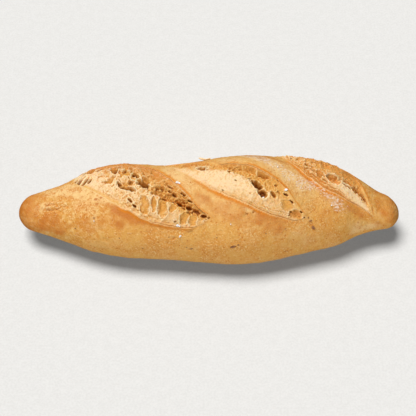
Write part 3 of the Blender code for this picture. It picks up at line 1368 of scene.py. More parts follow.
@dataclass
class Crust:
    """The whole baked skin as one closed body, with a deep cut where each slash opens it."""

    form: LoafForm
    slashes: tuple[Slash, ...]
    around: int = 240
    along: int = 372
    top_share: float = 0.66
    cut_depth: float = 6 * MM
    cut_height: float = 8 * MM
    cut_around: int = 40
    cut_along: int = 300
    cut_corner: float = 0.075
    pit_count: int = 420
    seed: int = 11
    browned: tuple[Patch, ...] = (
        Patch(-80, -17, 11, 7, -12, 0.5),
        Patch(-80, -11, 8, 3.6, -5, 0.35),
        Patch(-60, -20, 17, 5, -6, 0.35),
        Patch(-44, -14, 15, 2.6, -28, 0.55),
        Patch(-42, -18, 16, 5, -26, 0.4),
        Patch(-57.3, -6.5, 1.1, 0.9, 0, 1.2),
        Patch(-54.5, -5.9, 1.0, 0.8, 0, 1.2),
        Patch(-56.7, -9.2, 1.0, 0.8, 0, 1.1),
        Patch(-29, -22, 10, 3.5, -25, 0.2),
        Patch(37, 15.5, 15, 2.6, -38, 0.5),
        Patch(53, 2.5, 11, 3.0, -38, 0.75),
        Patch(24, 19, 9, 4, -35, 0.5),
        Patch(78, -11, 8, 3.4, -15, 0.5),
        Patch(37, -7, 7, 2.0, -50, 0.4),
        Patch(9, -17, 15, 7, -30, 0.42),
        Patch(-2, -9, 8, 4, -35, 0.35),
        Patch(31, -24, 14, 6, -25, 0.5),
        Patch(27, -19, 5, 3.5, -25, 0.25),
        Patch(62, -18, 9, 5, -15, 0.25),
        Patch(62, -7, 14, 5, -28, 0.35),
        Patch(-12, 14, 10, 3, -30, 0.3),
    )
    paled: tuple[Patch, ...] = (
        Patch(-66, -1, 16, 5, -22, 0.7),
        Patch(-52, -7, 9, 3.5, -30, 0.6),
        Patch(-78, 5, 14, 6, -5, 0.5),
        Patch(-16, 7, 10, 3.8, -40, 0.8),
        Patch(-85, -4, 7, 3, 10, 0.6),
        Patch(-64, -10, 9, 3.5, -15, 0.4),
        Patch(48, -32, 16, 7, 0, 0.3),
        Patch(85, -20, 14, 9, 10, 1.4),
        # Paler flap over the middle slash, where it faces away from the lamps: its floured colour and
        # painted light.
        Patch(33, 9, 21, 4.8, -41, 1.0),
        Patch(-14, 12, 11, 4.0, -30, 0.5),
        Patch(-58, -33, 20, 6, 5, 0.4),
        Patch(21.8, -17.0, 3.2, 2.2, 0, 0.8),
    )
    floured: tuple[Patch, ...] = (
        Patch(68, -10.5, 8.5, 4.8, -20, 0.85),
        Patch(59, -4, 9, 4.6, -35, 0.9),
        Patch(36, 7.5, 16, 5.5, -42, 1.15),
        Patch(48, -1, 11, 5.0, -40, 1.05),
        Patch(25, 16, 12, 5.5, -40, 1.1),
    )
    pits: tuple[PlacedPore, ...] = (
        PlacedPore(20.6, -19.6, 0.9, 0.7, 0.9, 0),
        PlacedPore(23.8, -18.8, 1.1, 0.8, 1.0, 40),
        PlacedPore(40.9, -41.2, 1.6, 0.9, 0.8, 20),
        PlacedPore(43.5, -40.0, 1.0, 0.7, 0.6, 0),
        PlacedPore(-15.0, -19.5, 1.4, 0.7, 0.5, 0),
        PlacedPore(53.5, -23.0, 2.2, 1.6, 0.4, -50),
        PlacedPore(-9.0, -23.5, 2.2, 1.6, -0.5, 0),
        PlacedPore(-16.9, -28.3, 1.8, 0.5, 0.5, 55),
    )

    def _cutter(self, slash: Slash) -> bpy.types.Object:
        """Make a block with the slash's outline, standing straight through the skin.

        Args:
            slash: The slash.

        Returns:
            The block.
        """
        cutter = ball(f"cutter_{slash.name}", self.cut_around, self.cut_along)
        t, turn = ball_places(cutter)
        over = np.where(turn < 0.5, turn / 0.5, (1 - turn) / 0.5)
        over = np.clip(over * (1 + 2 * self.cut_corner) - self.cut_corner, 0, 1)
        height = np.where(turn < 0.5, self.cut_height, -self.cut_depth)
        across = slash.low(t) + over * (slash.high(t) - slash.low(t))
        x, arc = slash.spot(t, across)
        write_points(cutter, self.form.above(x, arc, height))
        return cutter

    def _pits(self) -> list[Pore]:
        """Gather the placed pits, and the small pits and blisters scattered over the crust.

        Returns:
            All of them.
        """
        draw = np.random.default_rng(self.seed)
        made = []
        for pit in self.pits:
            made.append(Pore(*(value * MM for value in pit[:5]), math.radians(pit.turn)))
        for _ in range(self.pit_count):
            x = draw.uniform(-0.49, 0.49) * self.form.length
            arc = draw.uniform(-45, 45) * MM
            radius = draw.uniform(0.5, 1.5) * MM
            depth = draw.uniform(-0.16, 0.20) * MM
            stretch = draw.uniform(1.0, 1.8)
            made.append(Pore(x, arc, radius * stretch, radius, depth, draw.uniform(0, math.pi)))
        return made

    def _fold(self, x: np.ndarray, arc: np.ndarray) -> np.ndarray:
        """Work out the short fold by the left tip: a ridge with a crease in front of it.

        Args:
            x: Place along the loaf.
            arc: Way along the skin from the top line.

        Returns:
            The height that it adds, in metres.
        """
        window = smooth_step(-88 * MM, -83 * MM, x) * smooth_step(-69 * MM, -75 * MM, x)
        line = arc + 6.4 * MM + 0.08 * (x + 78 * MM)
        ridge = np.exp(-(((line - 1.6 * MM) / (1.8 * MM)) ** 2))
        crease = np.exp(-(((line + 0.6 * MM) / (0.8 * MM)) ** 2))
        flat = np.stack([x / 2, arc], axis=-1)
        rough = noise_at(flat, 1.6 * MM, 17, 2) * np.exp(-((line / (4.0 * MM)) ** 2))
        uneven = np.clip(0.7 + 1.8 * noise_at(flat, 2.2 * MM, 19), 0, 1.6)
        return window * (0.60 * ridge * uneven - 0.75 * crease * uneven + 0.85 * rough) * MM

    def height(self, x: np.ndarray, angle: np.ndarray) -> np.ndarray:
        """Work out how far the crust stands over the plain skin.

        Args:
            x: Place along the loaf.
            angle: Place round it, as in LoafForm.skin.

        Returns:
            The height in metres.
        """
        arc = self.form.arc(x, angle)
        skin, _ = self.form.skin(x, angle)
        fine = noise_at(skin, 2.2 * MM, 13, 2)
        lift = sum(slash.crust_lift(x, arc) for slash in self.slashes)
        pits, _ = pore_depths(self._pits(), x, arc, fine)
        height = lift * smooth_step(0, 0.2, np.cos(angle)) + pits + self._fold(x, arc)
        return height + self.form.swell(x, angle) + 0.07 * MM * fine

    def build(self, material: bpy.types.Material) -> bpy.types.Object:
        """Make the piece.

        Args:
            material: Its finish.

        Returns:
            The finished piece.
        """
        piece = ball("crust", self.around, self.along)
        polar, turn = ball_places(piece)
        share = 0.55 * (1 - 2 * polar) + 0.45 * np.cos(polar * math.pi)
        x = self.form.middle + share * self.form.length / 2
        turn = np.where(turn < 0.5, -2 * turn, 2 - 2 * turn)
        under = np.sign(turn) * (1 - (1 - np.abs(turn)) / (1 - self.top_share) * 0.5)
        quarter = np.where(np.abs(turn) < self.top_share, turn / self.top_share * 0.5, under)
        angle = quarter * math.pi
        skin, outward = self.form.skin(x, angle)
        points = skin + outward * self.height(x, angle)[:, None]
        points[:, 2] = np.where(points[:, 2] < 0, 0, points[:, 2])
        write_points(piece, points)
        self._open_slashes(piece)
        self._mark(piece)
        write_relief(piece, fine=3, broad=24)
        dress(piece, material, sharp=50)
        return piece

    def _open_slashes(self, piece: bpy.types.Object) -> None:
        """Cut each slash out of the crust.

        Args:
            piece: The whole crust.
        """
        for slash in self.slashes:
            cutter = self._cutter(slash)
            cut = piece.modifiers.new(f"open_{slash.name}", "BOOLEAN")
            cut.operation = "DIFFERENCE"
            cut.solver = "MANIFOLD"
            cut.object = cutter
            select_only(piece)
            bpy.ops.object.modifier_apply(modifier=cut.name)
            bpy.data.objects.remove(cutter, do_unlink=True)

    def _mark(self, piece: bpy.types.Object) -> None:
        """Keep the masks of the crust's colours on its points.

        Args:
            piece: The crust, with its slashes cut.
        """
        points = read_points(piece)
        x, arc = self.form.unroll(points)
        patch = noise_at(points, 9 * MM, 21, 2)
        toast_and_shade = 0.45 * smooth_step(76 * MM, 98 * MM, x) * smooth_step(-22 * MM, -6 * MM, arc)
        toast_and_shade += 0.65 * smooth_step(-80 * MM, -98 * MM, x)
        # Darker near the floor: painted contact shade.
        toast_and_shade += 0.35 * smooth_step(5 * MM, 1.5 * MM, points[:, 2])
        # Paler on top and low on the sides: painted light, as from the lamps above and from the floor
        # below.
        pale = 0.55 * smooth_step(26 * MM, 44 * MM, points[:, 2])
        pale += 0.32 * smooth_step(20 * MM, 11 * MM, points[:, 2])
        lively = smooth_step(-30 * MM, -55 * MM, x) * smooth_step(-32 * MM, -18 * MM, arc)
        lively += 0.6 * smooth_step(74 * MM, 90 * MM, x) * smooth_step(-20 * MM, -5 * MM, arc)
        band = np.zeros_like(x)
        lip = np.zeros_like(x)
        inner = np.zeros_like(x)
        for slash in self.slashes:
            # The skin bakes darker in a band beside each slash, with a thin pale edge on the lower one.
            t, from_low, from_high, past = slash.place(x, arc)
            fullness = slash.fullness(t)
            stands = np.clip(slash.rim_at(t) / slash.rim, 0, 1) ** 0.5
            is_low = (from_low < from_high) & (past == 0)
            is_high = (from_low >= from_high) & (past == 0)
            below = np.exp(-((np.minimum(from_low + 0.7 * MM, 0) / (1.3 * MM)) ** 2)) * is_low
            above = np.exp(-((np.minimum(from_high, 0) / (1.1 * MM)) ** 2)) * is_high
            above *= 0.6 + 0.7 * smooth_step(0.5, 0.3, t)
            beside = np.maximum(below * stands, above)
            shown = np.sin(math.pi * np.clip(t, 0, 1)) ** 0.3 * smooth_step(0.95, 0.45, t)
            band = np.maximum(band, shown * beside * (0.95 + 0.6 * patch))
            toast_and_shade += 0.35 * fullness * beside
            pale *= 1 - 0.8 * fullness * beside
            edge = smooth_step(-0.55 * MM, -0.20 * MM, from_low)
            lip = np.maximum(lip, edge * is_low * stands * fullness)
            inner = np.maximum(inner, (np.minimum(from_low, from_high) > -0.06 * MM) & (past == 0))
        upper = smooth_step(0.0, 3 * MM, points[:, 2] - self.form.widest_height)
        toast_and_shade += upper * sum(area.spread(x, arc, patch) for area in self.browned)
        pale += upper * sum(area.spread(x, arc, patch) for area in self.paled)
        flour = upper * sum(area.spread(x, arc, patch) for area in self.floured)
        masks = {
            "toast_and_shade": toast_and_shade,
            "pale": pale,
            "lively": lively,
            "flour": flour,
            "band": band,
            "lip": lip,
            "inner": inner,
        }
        for name, values in masks.items():
            write_attribute(piece, name, values)


class Ground:
    """The finished surfaces, as small things find them when they land on the loaf."""

    def __init__(self, form: LoafForm, pieces: list[bpy.types.Object]) -> None:
        """Keep the loaf's form and its pieces."""
        self.form = form
        self.pieces = pieces

    def land(self, x: float, arc: float) -> tuple[Vector, Vector]:
        """Find the surface over a place on the unrolled skin.

        Args:
            x: Place along the loaf, in metres.
            arc: Way along the skin from the top line, in metres.

        Returns:
            The highest point there, and the direction straight out of the loaf.
        """
        skin, outward = self.form.skin(np.array([x]), self.form.angle(np.array([x]), np.array([arc])))
        out = Vector(outward[0])
        start = Vector(skin[0]) + out * 20 * MM
        hits = [piece.ray_cast(start, -out) for piece in self.pieces]
        found = [(hit[1] - start).length for hit in hits if hit[0]]
        return start - out * min(found), out


class Chip(NamedTuple):
    """One small thing on the loaf: where it lies, and its size, in millimetres and degrees."""

    x: float
    arc: float
    length: float
    width: float
    turn: float


@dataclass
class Sprinkle:
    """Many small things of one kind, joined into one piece."""

    name: str
    chips: tuple[Chip, ...]
    thickness: float
    corners: int  # 4 for cube-like crystals, more for rounder flakes
    sunk: float  # share of the thickness that lies under the surface
    tilt: float  # degrees that they lie askew at most
    seed: int

    def build(self, ground: Ground, material: bpy.types.Material) -> bpy.types.Object:
        """Make the piece.

        Args:
            ground: The surface that they lie on.
            material: Their finish.

        Returns:
            The finished piece.
        """
        draw = np.random.default_rng(self.seed)
        made = []
        for chip in self.chips:
            place, out = ground.land(chip.x * MM, chip.arc * MM)
            frame_axes = out.to_track_quat("Z", "Y").to_matrix()
            askew = Euler([math.radians(draw.uniform(-self.tilt, self.tilt)) for _ in range(2)] + [0.0])
            turn = Euler((0, 0, math.radians(chip.turn)))
            axes = frame_axes @ askew.to_matrix() @ turn.to_matrix()
            centre = place + out * self.thickness * (0.5 - self.sunk)
            bpy.ops.object.select_all(action="DESELECT")
            bpy.ops.mesh.primitive_cylinder_add(vertices=self.corners, radius=0.5, depth=self.thickness)
            grain = bpy.context.object
            points = read_points(grain)
            points[:, :2] *= np.array([chip.length, chip.width]) * MM * (2**0.5 if self.corners == 4 else 1)
            points[:, :2] *= draw.uniform(0.8, 1.2, size=(len(points), 1))
            points = points @ np.array(axes).T + np.array(centre)
            write_points(grain, points)
            made.append(grain)
        bpy.ops.object.select_all(action="DESELECT")
        for grain in made:
            grain.select_set(True)
        bpy.context.view_layer.objects.active = made[0]
        bpy.ops.object.join()
        piece = bpy.context.object
        piece.name = self.name
        piece.data.name = self.name
        bpy.ops.object.transform_apply(location=True, rotation=True, scale=True)
        dress(piece, material, sharp=25)
        return piece


@dataclass
class LooseFlake:
    """A thin curled flake of crust standing off the loaf behind the middle slash."""

    x: float = -1.3 * MM
    arc: float = 24.2 * MM
    length: float = 6.6 * MM
    width: float = 3.0 * MM
    thickness: float = 0.45 * MM
    curl: float = 0.7 * MM
    lift: float = 0.5 * MM
    turn: float = -35.0  # degrees

    def build(self, ground: Ground, material: bpy.types.Material) -> bpy.types.Object:
        """Make the piece.

        Args:
            ground: The surface that it lies on.
            material: Its finish.

        Returns:
            The finished piece.
        """
        place, out = ground.land(self.x, self.arc)
        bpy.ops.object.select_all(action="DESELECT")
        bpy.ops.mesh.primitive_grid_add(x_subdivisions=24, y_subdivisions=8, size=1.0)
        piece = bpy.context.object
        piece.name = "flake"
        piece.data.name = "flake"
        flat = read_points(piece)
        along, across = flat[:, 0], flat[:, 1]
        taper = np.sqrt(np.clip(1 - (2 * along) ** 2, 0.04, 1))
        ragged = 1 + 0.25 * noise_at(flat, 0.18, 5, 2)
        shaped = np.stack(
            [
                along * self.length,
                across * self.width * taper * ragged,
                self.curl * (4 * along**2 + 2 * across**2) + 0.12 * MM * noise_at(flat, 0.2, 6, 2),
            ],
            axis=-1,
        )
        turn = Euler((0, 0, math.radians(self.turn)))
        axes = out.to_track_quat("Z", "Y").to_matrix() @ turn.to_matrix()
        write_points(piece, shaped @ np.array(axes).T + np.array(place + out * self.lift))
        thicken = piece.modifiers.new("thicken", "SOLIDIFY")
        thicken.thickness = self.thickness
        select_only(piece)
        bpy.ops.object.modifier_apply(modifier=thicken.name)
        bpy.ops.object.transform_apply(location=True, rotation=True, scale=True)
        write_points(piece, read_points(piece))
        dress(piece, material, sharp=30)
        return piece


# --- Stage ---------------------------------------------------------------------------------------


class Lights(Enum):
    """What a lamp shines on."""

    LOAF = "loaf"
    FLOOR = "floor"


@dataclass(frozen=True)
class Lamp:
    """One far lamp, given by where its light goes, how strong it is and how wide it looks."""

    name: str
    shines_on: Lights
    direction: tuple[float, float, float]
    strength: float
    width: float  # degrees
    bounces: int = 1024
    shadow: bool = True

    def build(self, receivers: bpy.types.Collection) -> None:
        """Hang the lamp.

        Args:
            receivers: All that it lights. Where that is the loaf, only the loaf throws its shadow.
        """
        data = bpy.data.lights.new(self.name, "SUN")
        data.energy = self.strength
        data.angle = math.radians(self.width)
        data.use_shadow = self.shadow
        data.cycles.max_bounces = self.bounces
        holder = bpy.data.objects.new(self.name, data)
        holder.rotation_euler = Vector(self.direction).to_track_quat("-Z", "Y").to_euler()
        holder.light_linking.receiver_collection = receivers
        if self.shines_on is Lights.LOAF:
            holder.light_linking.blocker_collection = receivers
        bpy.context.scene.collection.objects.link(holder)


@dataclass
class Stage:
    """Floor, lights and camera, as a plain pale studio seen at the photograph's angle.

    The floor has lamps of its own, so that the loaf's colour doesn't tint its shadow.
    """

    floor_size: float = 6.0
    elevation: float = 52.0
    distance: float = 0.6114
    lens: float = 100.0
    target: tuple[float, float, float] = (0.5 * MM, -0.6 * MM, 19.8 * MM)
    lamps: tuple[Lamp, ...] = (
        Lamp("floor_key", Lights.FLOOR, (0.24, -0.08, -1.0), 2.76, 29.0, 0),
        Lamp("floor_even", Lights.FLOOR, (0.0, 0.0, -1.0), 0.70, 1.0, 0, False),
        Lamp("loaf_key", Lights.LOAF, (0.42, -0.30, -1.0), 2.12, 11.0),
        Lamp("loaf_top", Lights.LOAF, (0.15, -0.05, -1.0), 0.65, 45.0),
        Lamp("loaf_dome", Lights.LOAF, (-0.15, 0.1, -1.0), 1.03, 160.0),
        Lamp("loaf_under", Lights.LOAF, (0.0, 0.87, 0.12), 1.85, 45.0, 0),
    )

    def build(self, pieces: list[bpy.types.Object]) -> None:
        """Add the floor, the lights and the camera.

        Args:
            pieces: The loaf's pieces.
        """
        bpy.ops.object.select_all(action="DESELECT")
        bpy.ops.mesh.primitive_plane_add(size=self.floor_size)
        floor = bpy.context.object
        floor.name = "floor"
        floor.data.materials.append(PaperFinish().make())
        groups = {Lights.LOAF: pieces, Lights.FLOOR: [floor]}
        collections = {}
        for kind, members in groups.items():
            collections[kind] = bpy.data.collections.new(f"lit_{kind.value}")
            for member in members:
                collections[kind].objects.link(member)
        for lamp in self.lamps:
            lamp.build(collections[lamp.shines_on])
        self._sky()
        self._camera()

    def _sky(self) -> None:
        """No light from round about: the lamps give it all."""
        world = bpy.data.worlds.new("studio")
        world.use_nodes = True
        background = world.node_tree.nodes["Background"]
        background.inputs["Strength"].default_value = 0.0
        bpy.context.scene.world = world

    def _camera(self) -> None:
        """The photograph's camera."""
        data = bpy.data.cameras.new("camera")
        data.lens = self.lens
        holder = bpy.data.objects.new("camera", data)
        tilt = math.radians(self.elevation)
        back = Vector((0, -math.cos(tilt), math.sin(tilt)))
        holder.location = Vector(self.target) + back * self.distance
        holder.rotation_euler = (-back).to_track_quat("-Z", "Y").to_euler()
        bpy.context.scene.collection.objects.link(holder)
        bpy.context.scene.camera = holder
        bpy.context.scene.view_settings.view_transform = "Standard"


# --- This loaf -----------------------------------------------------------------------------------

LEFT_SLASH = Slash(
    name="left",
    front=(2 * MM, -19.3 * MM),
    back=(-75 * MM, 20 * MM),
    low_edge=(0.0, -5.4, -8.8, -11.2, -13.4, -14.0, -14.2, -13.5, -12.4, -9.2, 0.0),
    high_edge=(0.0, 0.9, 2.4, 6.4, 9.6, 12.6, 15.5, 17.0, 16.8, 12.0, 0.0),
    rim=1.25 * MM,
    flap=(0.0, 1.2, 1.9, 2.0, 1.8, 1.6, 1.7, 1.5, 0.0),
    step=(0.1, 0.7, 1.0, 0.75, 0.18, -0.05, -0.05, -0.05, -0.05),
    high_step=(0.0, 0.4, 0.6, 0.6, 0.5, 0.4, 0.3, 0.1, 0.0),
    heights=HeightCage(
        rows=(
            (-0.3, -0.3, -0.3, -0.3, -0.3, -0.3, -0.3, -0.3),
            (-0.5, -0.7, -0.3, 0.3, 0.3, -0.2, -0.6, -0.3),
            (-0.6, -1.0, -0.2, 0.8, 0.9, -0.6, -1.2, -0.4),
            (-0.6, -1.1, 0.0, 1.2, 1.2, -0.6, -1.4, -0.4),
            (-0.6, -1.0, 0.2, 1.4, 1.2, 0.1, -0.8, -0.4),
            (-0.4, -0.4, 0.4, 1.2, 1.0, 1.0, 0.4, -0.3),
            (-0.2, 0.0, 0.3, 0.9, 1.0, 1.2, 1.0, -0.3),
            (-0.1, 0.0, 0.2, 0.4, 0.6, 0.8, 0.6, -0.3),
            (-0.1, -0.1, -0.1, -0.1, -0.1, -0.1, -0.1, -0.1),
        )
    ),
    furrow=Furrow(
        steps=(
            FurrowStep(0.00, 0.80, 0.0),
            FurrowStep(0.05, 0.74, 1.6),
            FurrowStep(0.09, 0.74, 3.0),
            FurrowStep(0.15, 0.68, 4.0),
            FurrowStep(0.22, 0.62, 4.6),
            FurrowStep(0.29, 0.58, 4.8),
            FurrowStep(0.35, 0.55, 4.2),
            FurrowStep(0.42, 0.54, 2.2),
            FurrowStep(0.47, 0.56, 3.8),
            FurrowStep(0.51, 0.44, 1.6),
            FurrowStep(0.56, 0.39, 3.6),
            FurrowStep(0.62, 0.40, 1.2),
            FurrowStep(0.68, 0.38, 1.8),
            FurrowStep(0.78, 0.30, 0.3),
            FurrowStep(1.00, 0.30, 0.0),
        ),
        low_width=1.5 * MM,
        high_width=7.0 * MM,
    ),
    strata=(0.0, 0.3, 0.4, 0.5, 0.6, 0.5, 0.2, 0.0, 0.0),
    open_crumb=LookCage(
        rows=(
            (0.2, 0.2, 0.3, 0.5, 0.5, 0.3),
            (0.2, 0.2, 0.3, 0.8, 0.9, 0.4),
            (0.2, 0.2, 0.3, 0.9, 0.9, 0.3),
            (0.2, 0.35, 0.5, 0.95, 0.7, 0.2),
            (0.3, 0.4, 0.7, 0.9, 0.5, 0.2),
            (0.2, 0.15, 0.3, 0.6, 0.4, 0.2),
            (0.1, 0.2, 0.3, 0.4, 0.4, 0.3),
        )
    ),
    toasted=LookCage(
        rows=(
            (0.0, 0.0, 0.0, 0.1, 0.1, 0.3),
            (0.1, 0.0, 0.0, 0.15, 0.2, 0.4),
            (0.2, 0.05, 0.0, 0.25, 0.45, 0.7),
            (0.3, 0.05, 0.05, 0.25, 0.7, 0.9),
            (0.3, 0.1, 0.15, 0.4, 0.9, 1.2),
            (0.2, 0.05, 0.2, 0.8, 1.4, 1.6),
            (0.1, 0.1, 0.4, 1.0, 1.4, 1.4),
        )
    ),
    amber=LookCage(
        rows=(
            (0.6, 0.6, 0.6, 0.8, 0.8, 0.7),
            (0.6, 0.5, 0.6, 1.0, 1.0, 0.8),
            (0.7, 0.5, 0.5, 1.0, 1.0, 0.8),
            (0.7, 0.5, 0.4, 0.75, 0.8, 0.8),
            (0.5, 0.35, 0.35, 0.55, 0.65, 0.8),
            (0.4, 0.1, 0.15, 0.4, 0.6, 0.7),
            (0.3, 0.1, 0.2, 0.4, 0.5, 0.5),
        )
    ),
    bowls=(
        PlacedPore(-31.9, -11.0, 5.0, 3.0, 2.1, 96, 0.0),
        PlacedPore(-27.2, -10.6, 4.4, 1.7, 1.4, 88, 0.0),
        PlacedPore(-22.6, -12.2, 5.4, 2.8, 2.2, 84, 0.0),
        PlacedPore(-17.6, -13.2, 2.2, 2.0, 1.2, 80, 0.0),
        PlacedPore(-11.9, -18.6, 3.4, 2.2, 2.0, 75, 0.0),
        PlacedPore(-7.2, -19.6, 3.2, 2.3, 1.8, 70, 0.0),
    ),
    placed=(
        PlacedPore(-39.2, -8.6, 2.0, 0.9, 1.6, -35),
        PlacedPore(-37.2, -11.2, 1.6, 0.7, 1.4, -35),
        PlacedPore(-33.2, 0.6, 3.4, 2.6, 2.8, -30, 0.8),
        PlacedPore(-31.6, 3.4, 2.6, 2.2, 1.4, -20, 0.4),
        PlacedPore(-42.2, -1.0, 4.8, 2.0, 3.4, -25),
        PlacedPore(-38.6, -3.2, 2.4, 1.3, 2.4, -30),
        PlacedPore(-45.0, 1.6, 1.8, 1.2, 1.6, -20, 0.8),
        PlacedPore(-51.3, 3.8, 3.6, 2.4, 1.8, 20, 0.5),
        PlacedPore(-50.0, 6.6, 2.8, 1.6, 1.2, 10, 0.4),
        PlacedPore(-37.3, 6.3, 1.9, 1.2, 1.8, 0, 0.8),
        PlacedPore(-42.7, 10.3, 2.0, 0.9, 1.4, 40, 0.8),
        PlacedPore(-39.7, 11.6, 1.6, 0.8, 1.2, -50, 0.8),
        PlacedPore(-46.2, 13.1, 1.2, 0.8, 1.0, 0, 0.7),
        PlacedPore(-55.5, 9.0, 2.6, 1.4, 0.9, 20, 0.4),
        PlacedPore(-36.0, 15.5, 4.5, 1.4, 0.9, -10, 0.4),
        PlacedPore(-61.6, 15.6, 4.0, 3.0, 2.8, 20),
        PlacedPore(-65.6, 13.8, 2.6, 1.8, 1.8, 30, 0.8),
        PlacedPore(-56.5, 14.6, 2.4, 1.6, 1.4, 20, 0.7),
        PlacedPore(-69.6, 9.0, 4.6, 1.4, 3.2, 56),
        PlacedPore(-66.5, 7.6, 5.0, 1.4, 3.2, 60),
        PlacedPore(-63.5, 6.6, 4.0, 1.2, 2.8, 60),
        PlacedPore(-61.0, 6.2, 2.4, 0.9, 2.0, 60, 0.9),
        PlacedPore(-19.5, -0.7, 2.8, 0.7, 1.8, -32),
        PlacedPore(-16.9, -4.9, 2.6, 0.9, 1.8, -45),
        PlacedPore(-19.2, -3.4, 2.0, 0.7, 1.4, -35, 0.8),
        PlacedPore(-11.8, -5.7, 2.2, 0.6, 1.4, -40, 0.9),
        PlacedPore(-8.7, -9.3, 2.0, 0.6, 1.4, -40),
        PlacedPore(-23.5, -1.0, 2.4, 1.0, 1.2, -20, 0.6),
        PlacedPore(-14.2, -9.8, 2.2, 1.0, 1.6, -35, 0.9),
        PlacedPore(-9.6, -12.4, 2.8, 1.2, 2.0, -38),
        PlacedPore(-5.4, -15.2, 3.0, 1.2, 2.0, -40),
        PlacedPore(-1.6, -18.2, 2.2, 1.1, 1.8, -10),
        PlacedPore(1.2, -18.4, 1.0, 0.8, 1.2, 0),
        PlacedPore(-16.0, -19.5, 1.0, 0.8, 0.8, 0, 0.6),
    ),
    pore_count=340,
    pore_sizes=(0.3, 1.4),
    lump=0.60 * MM,
    seed=4,
)

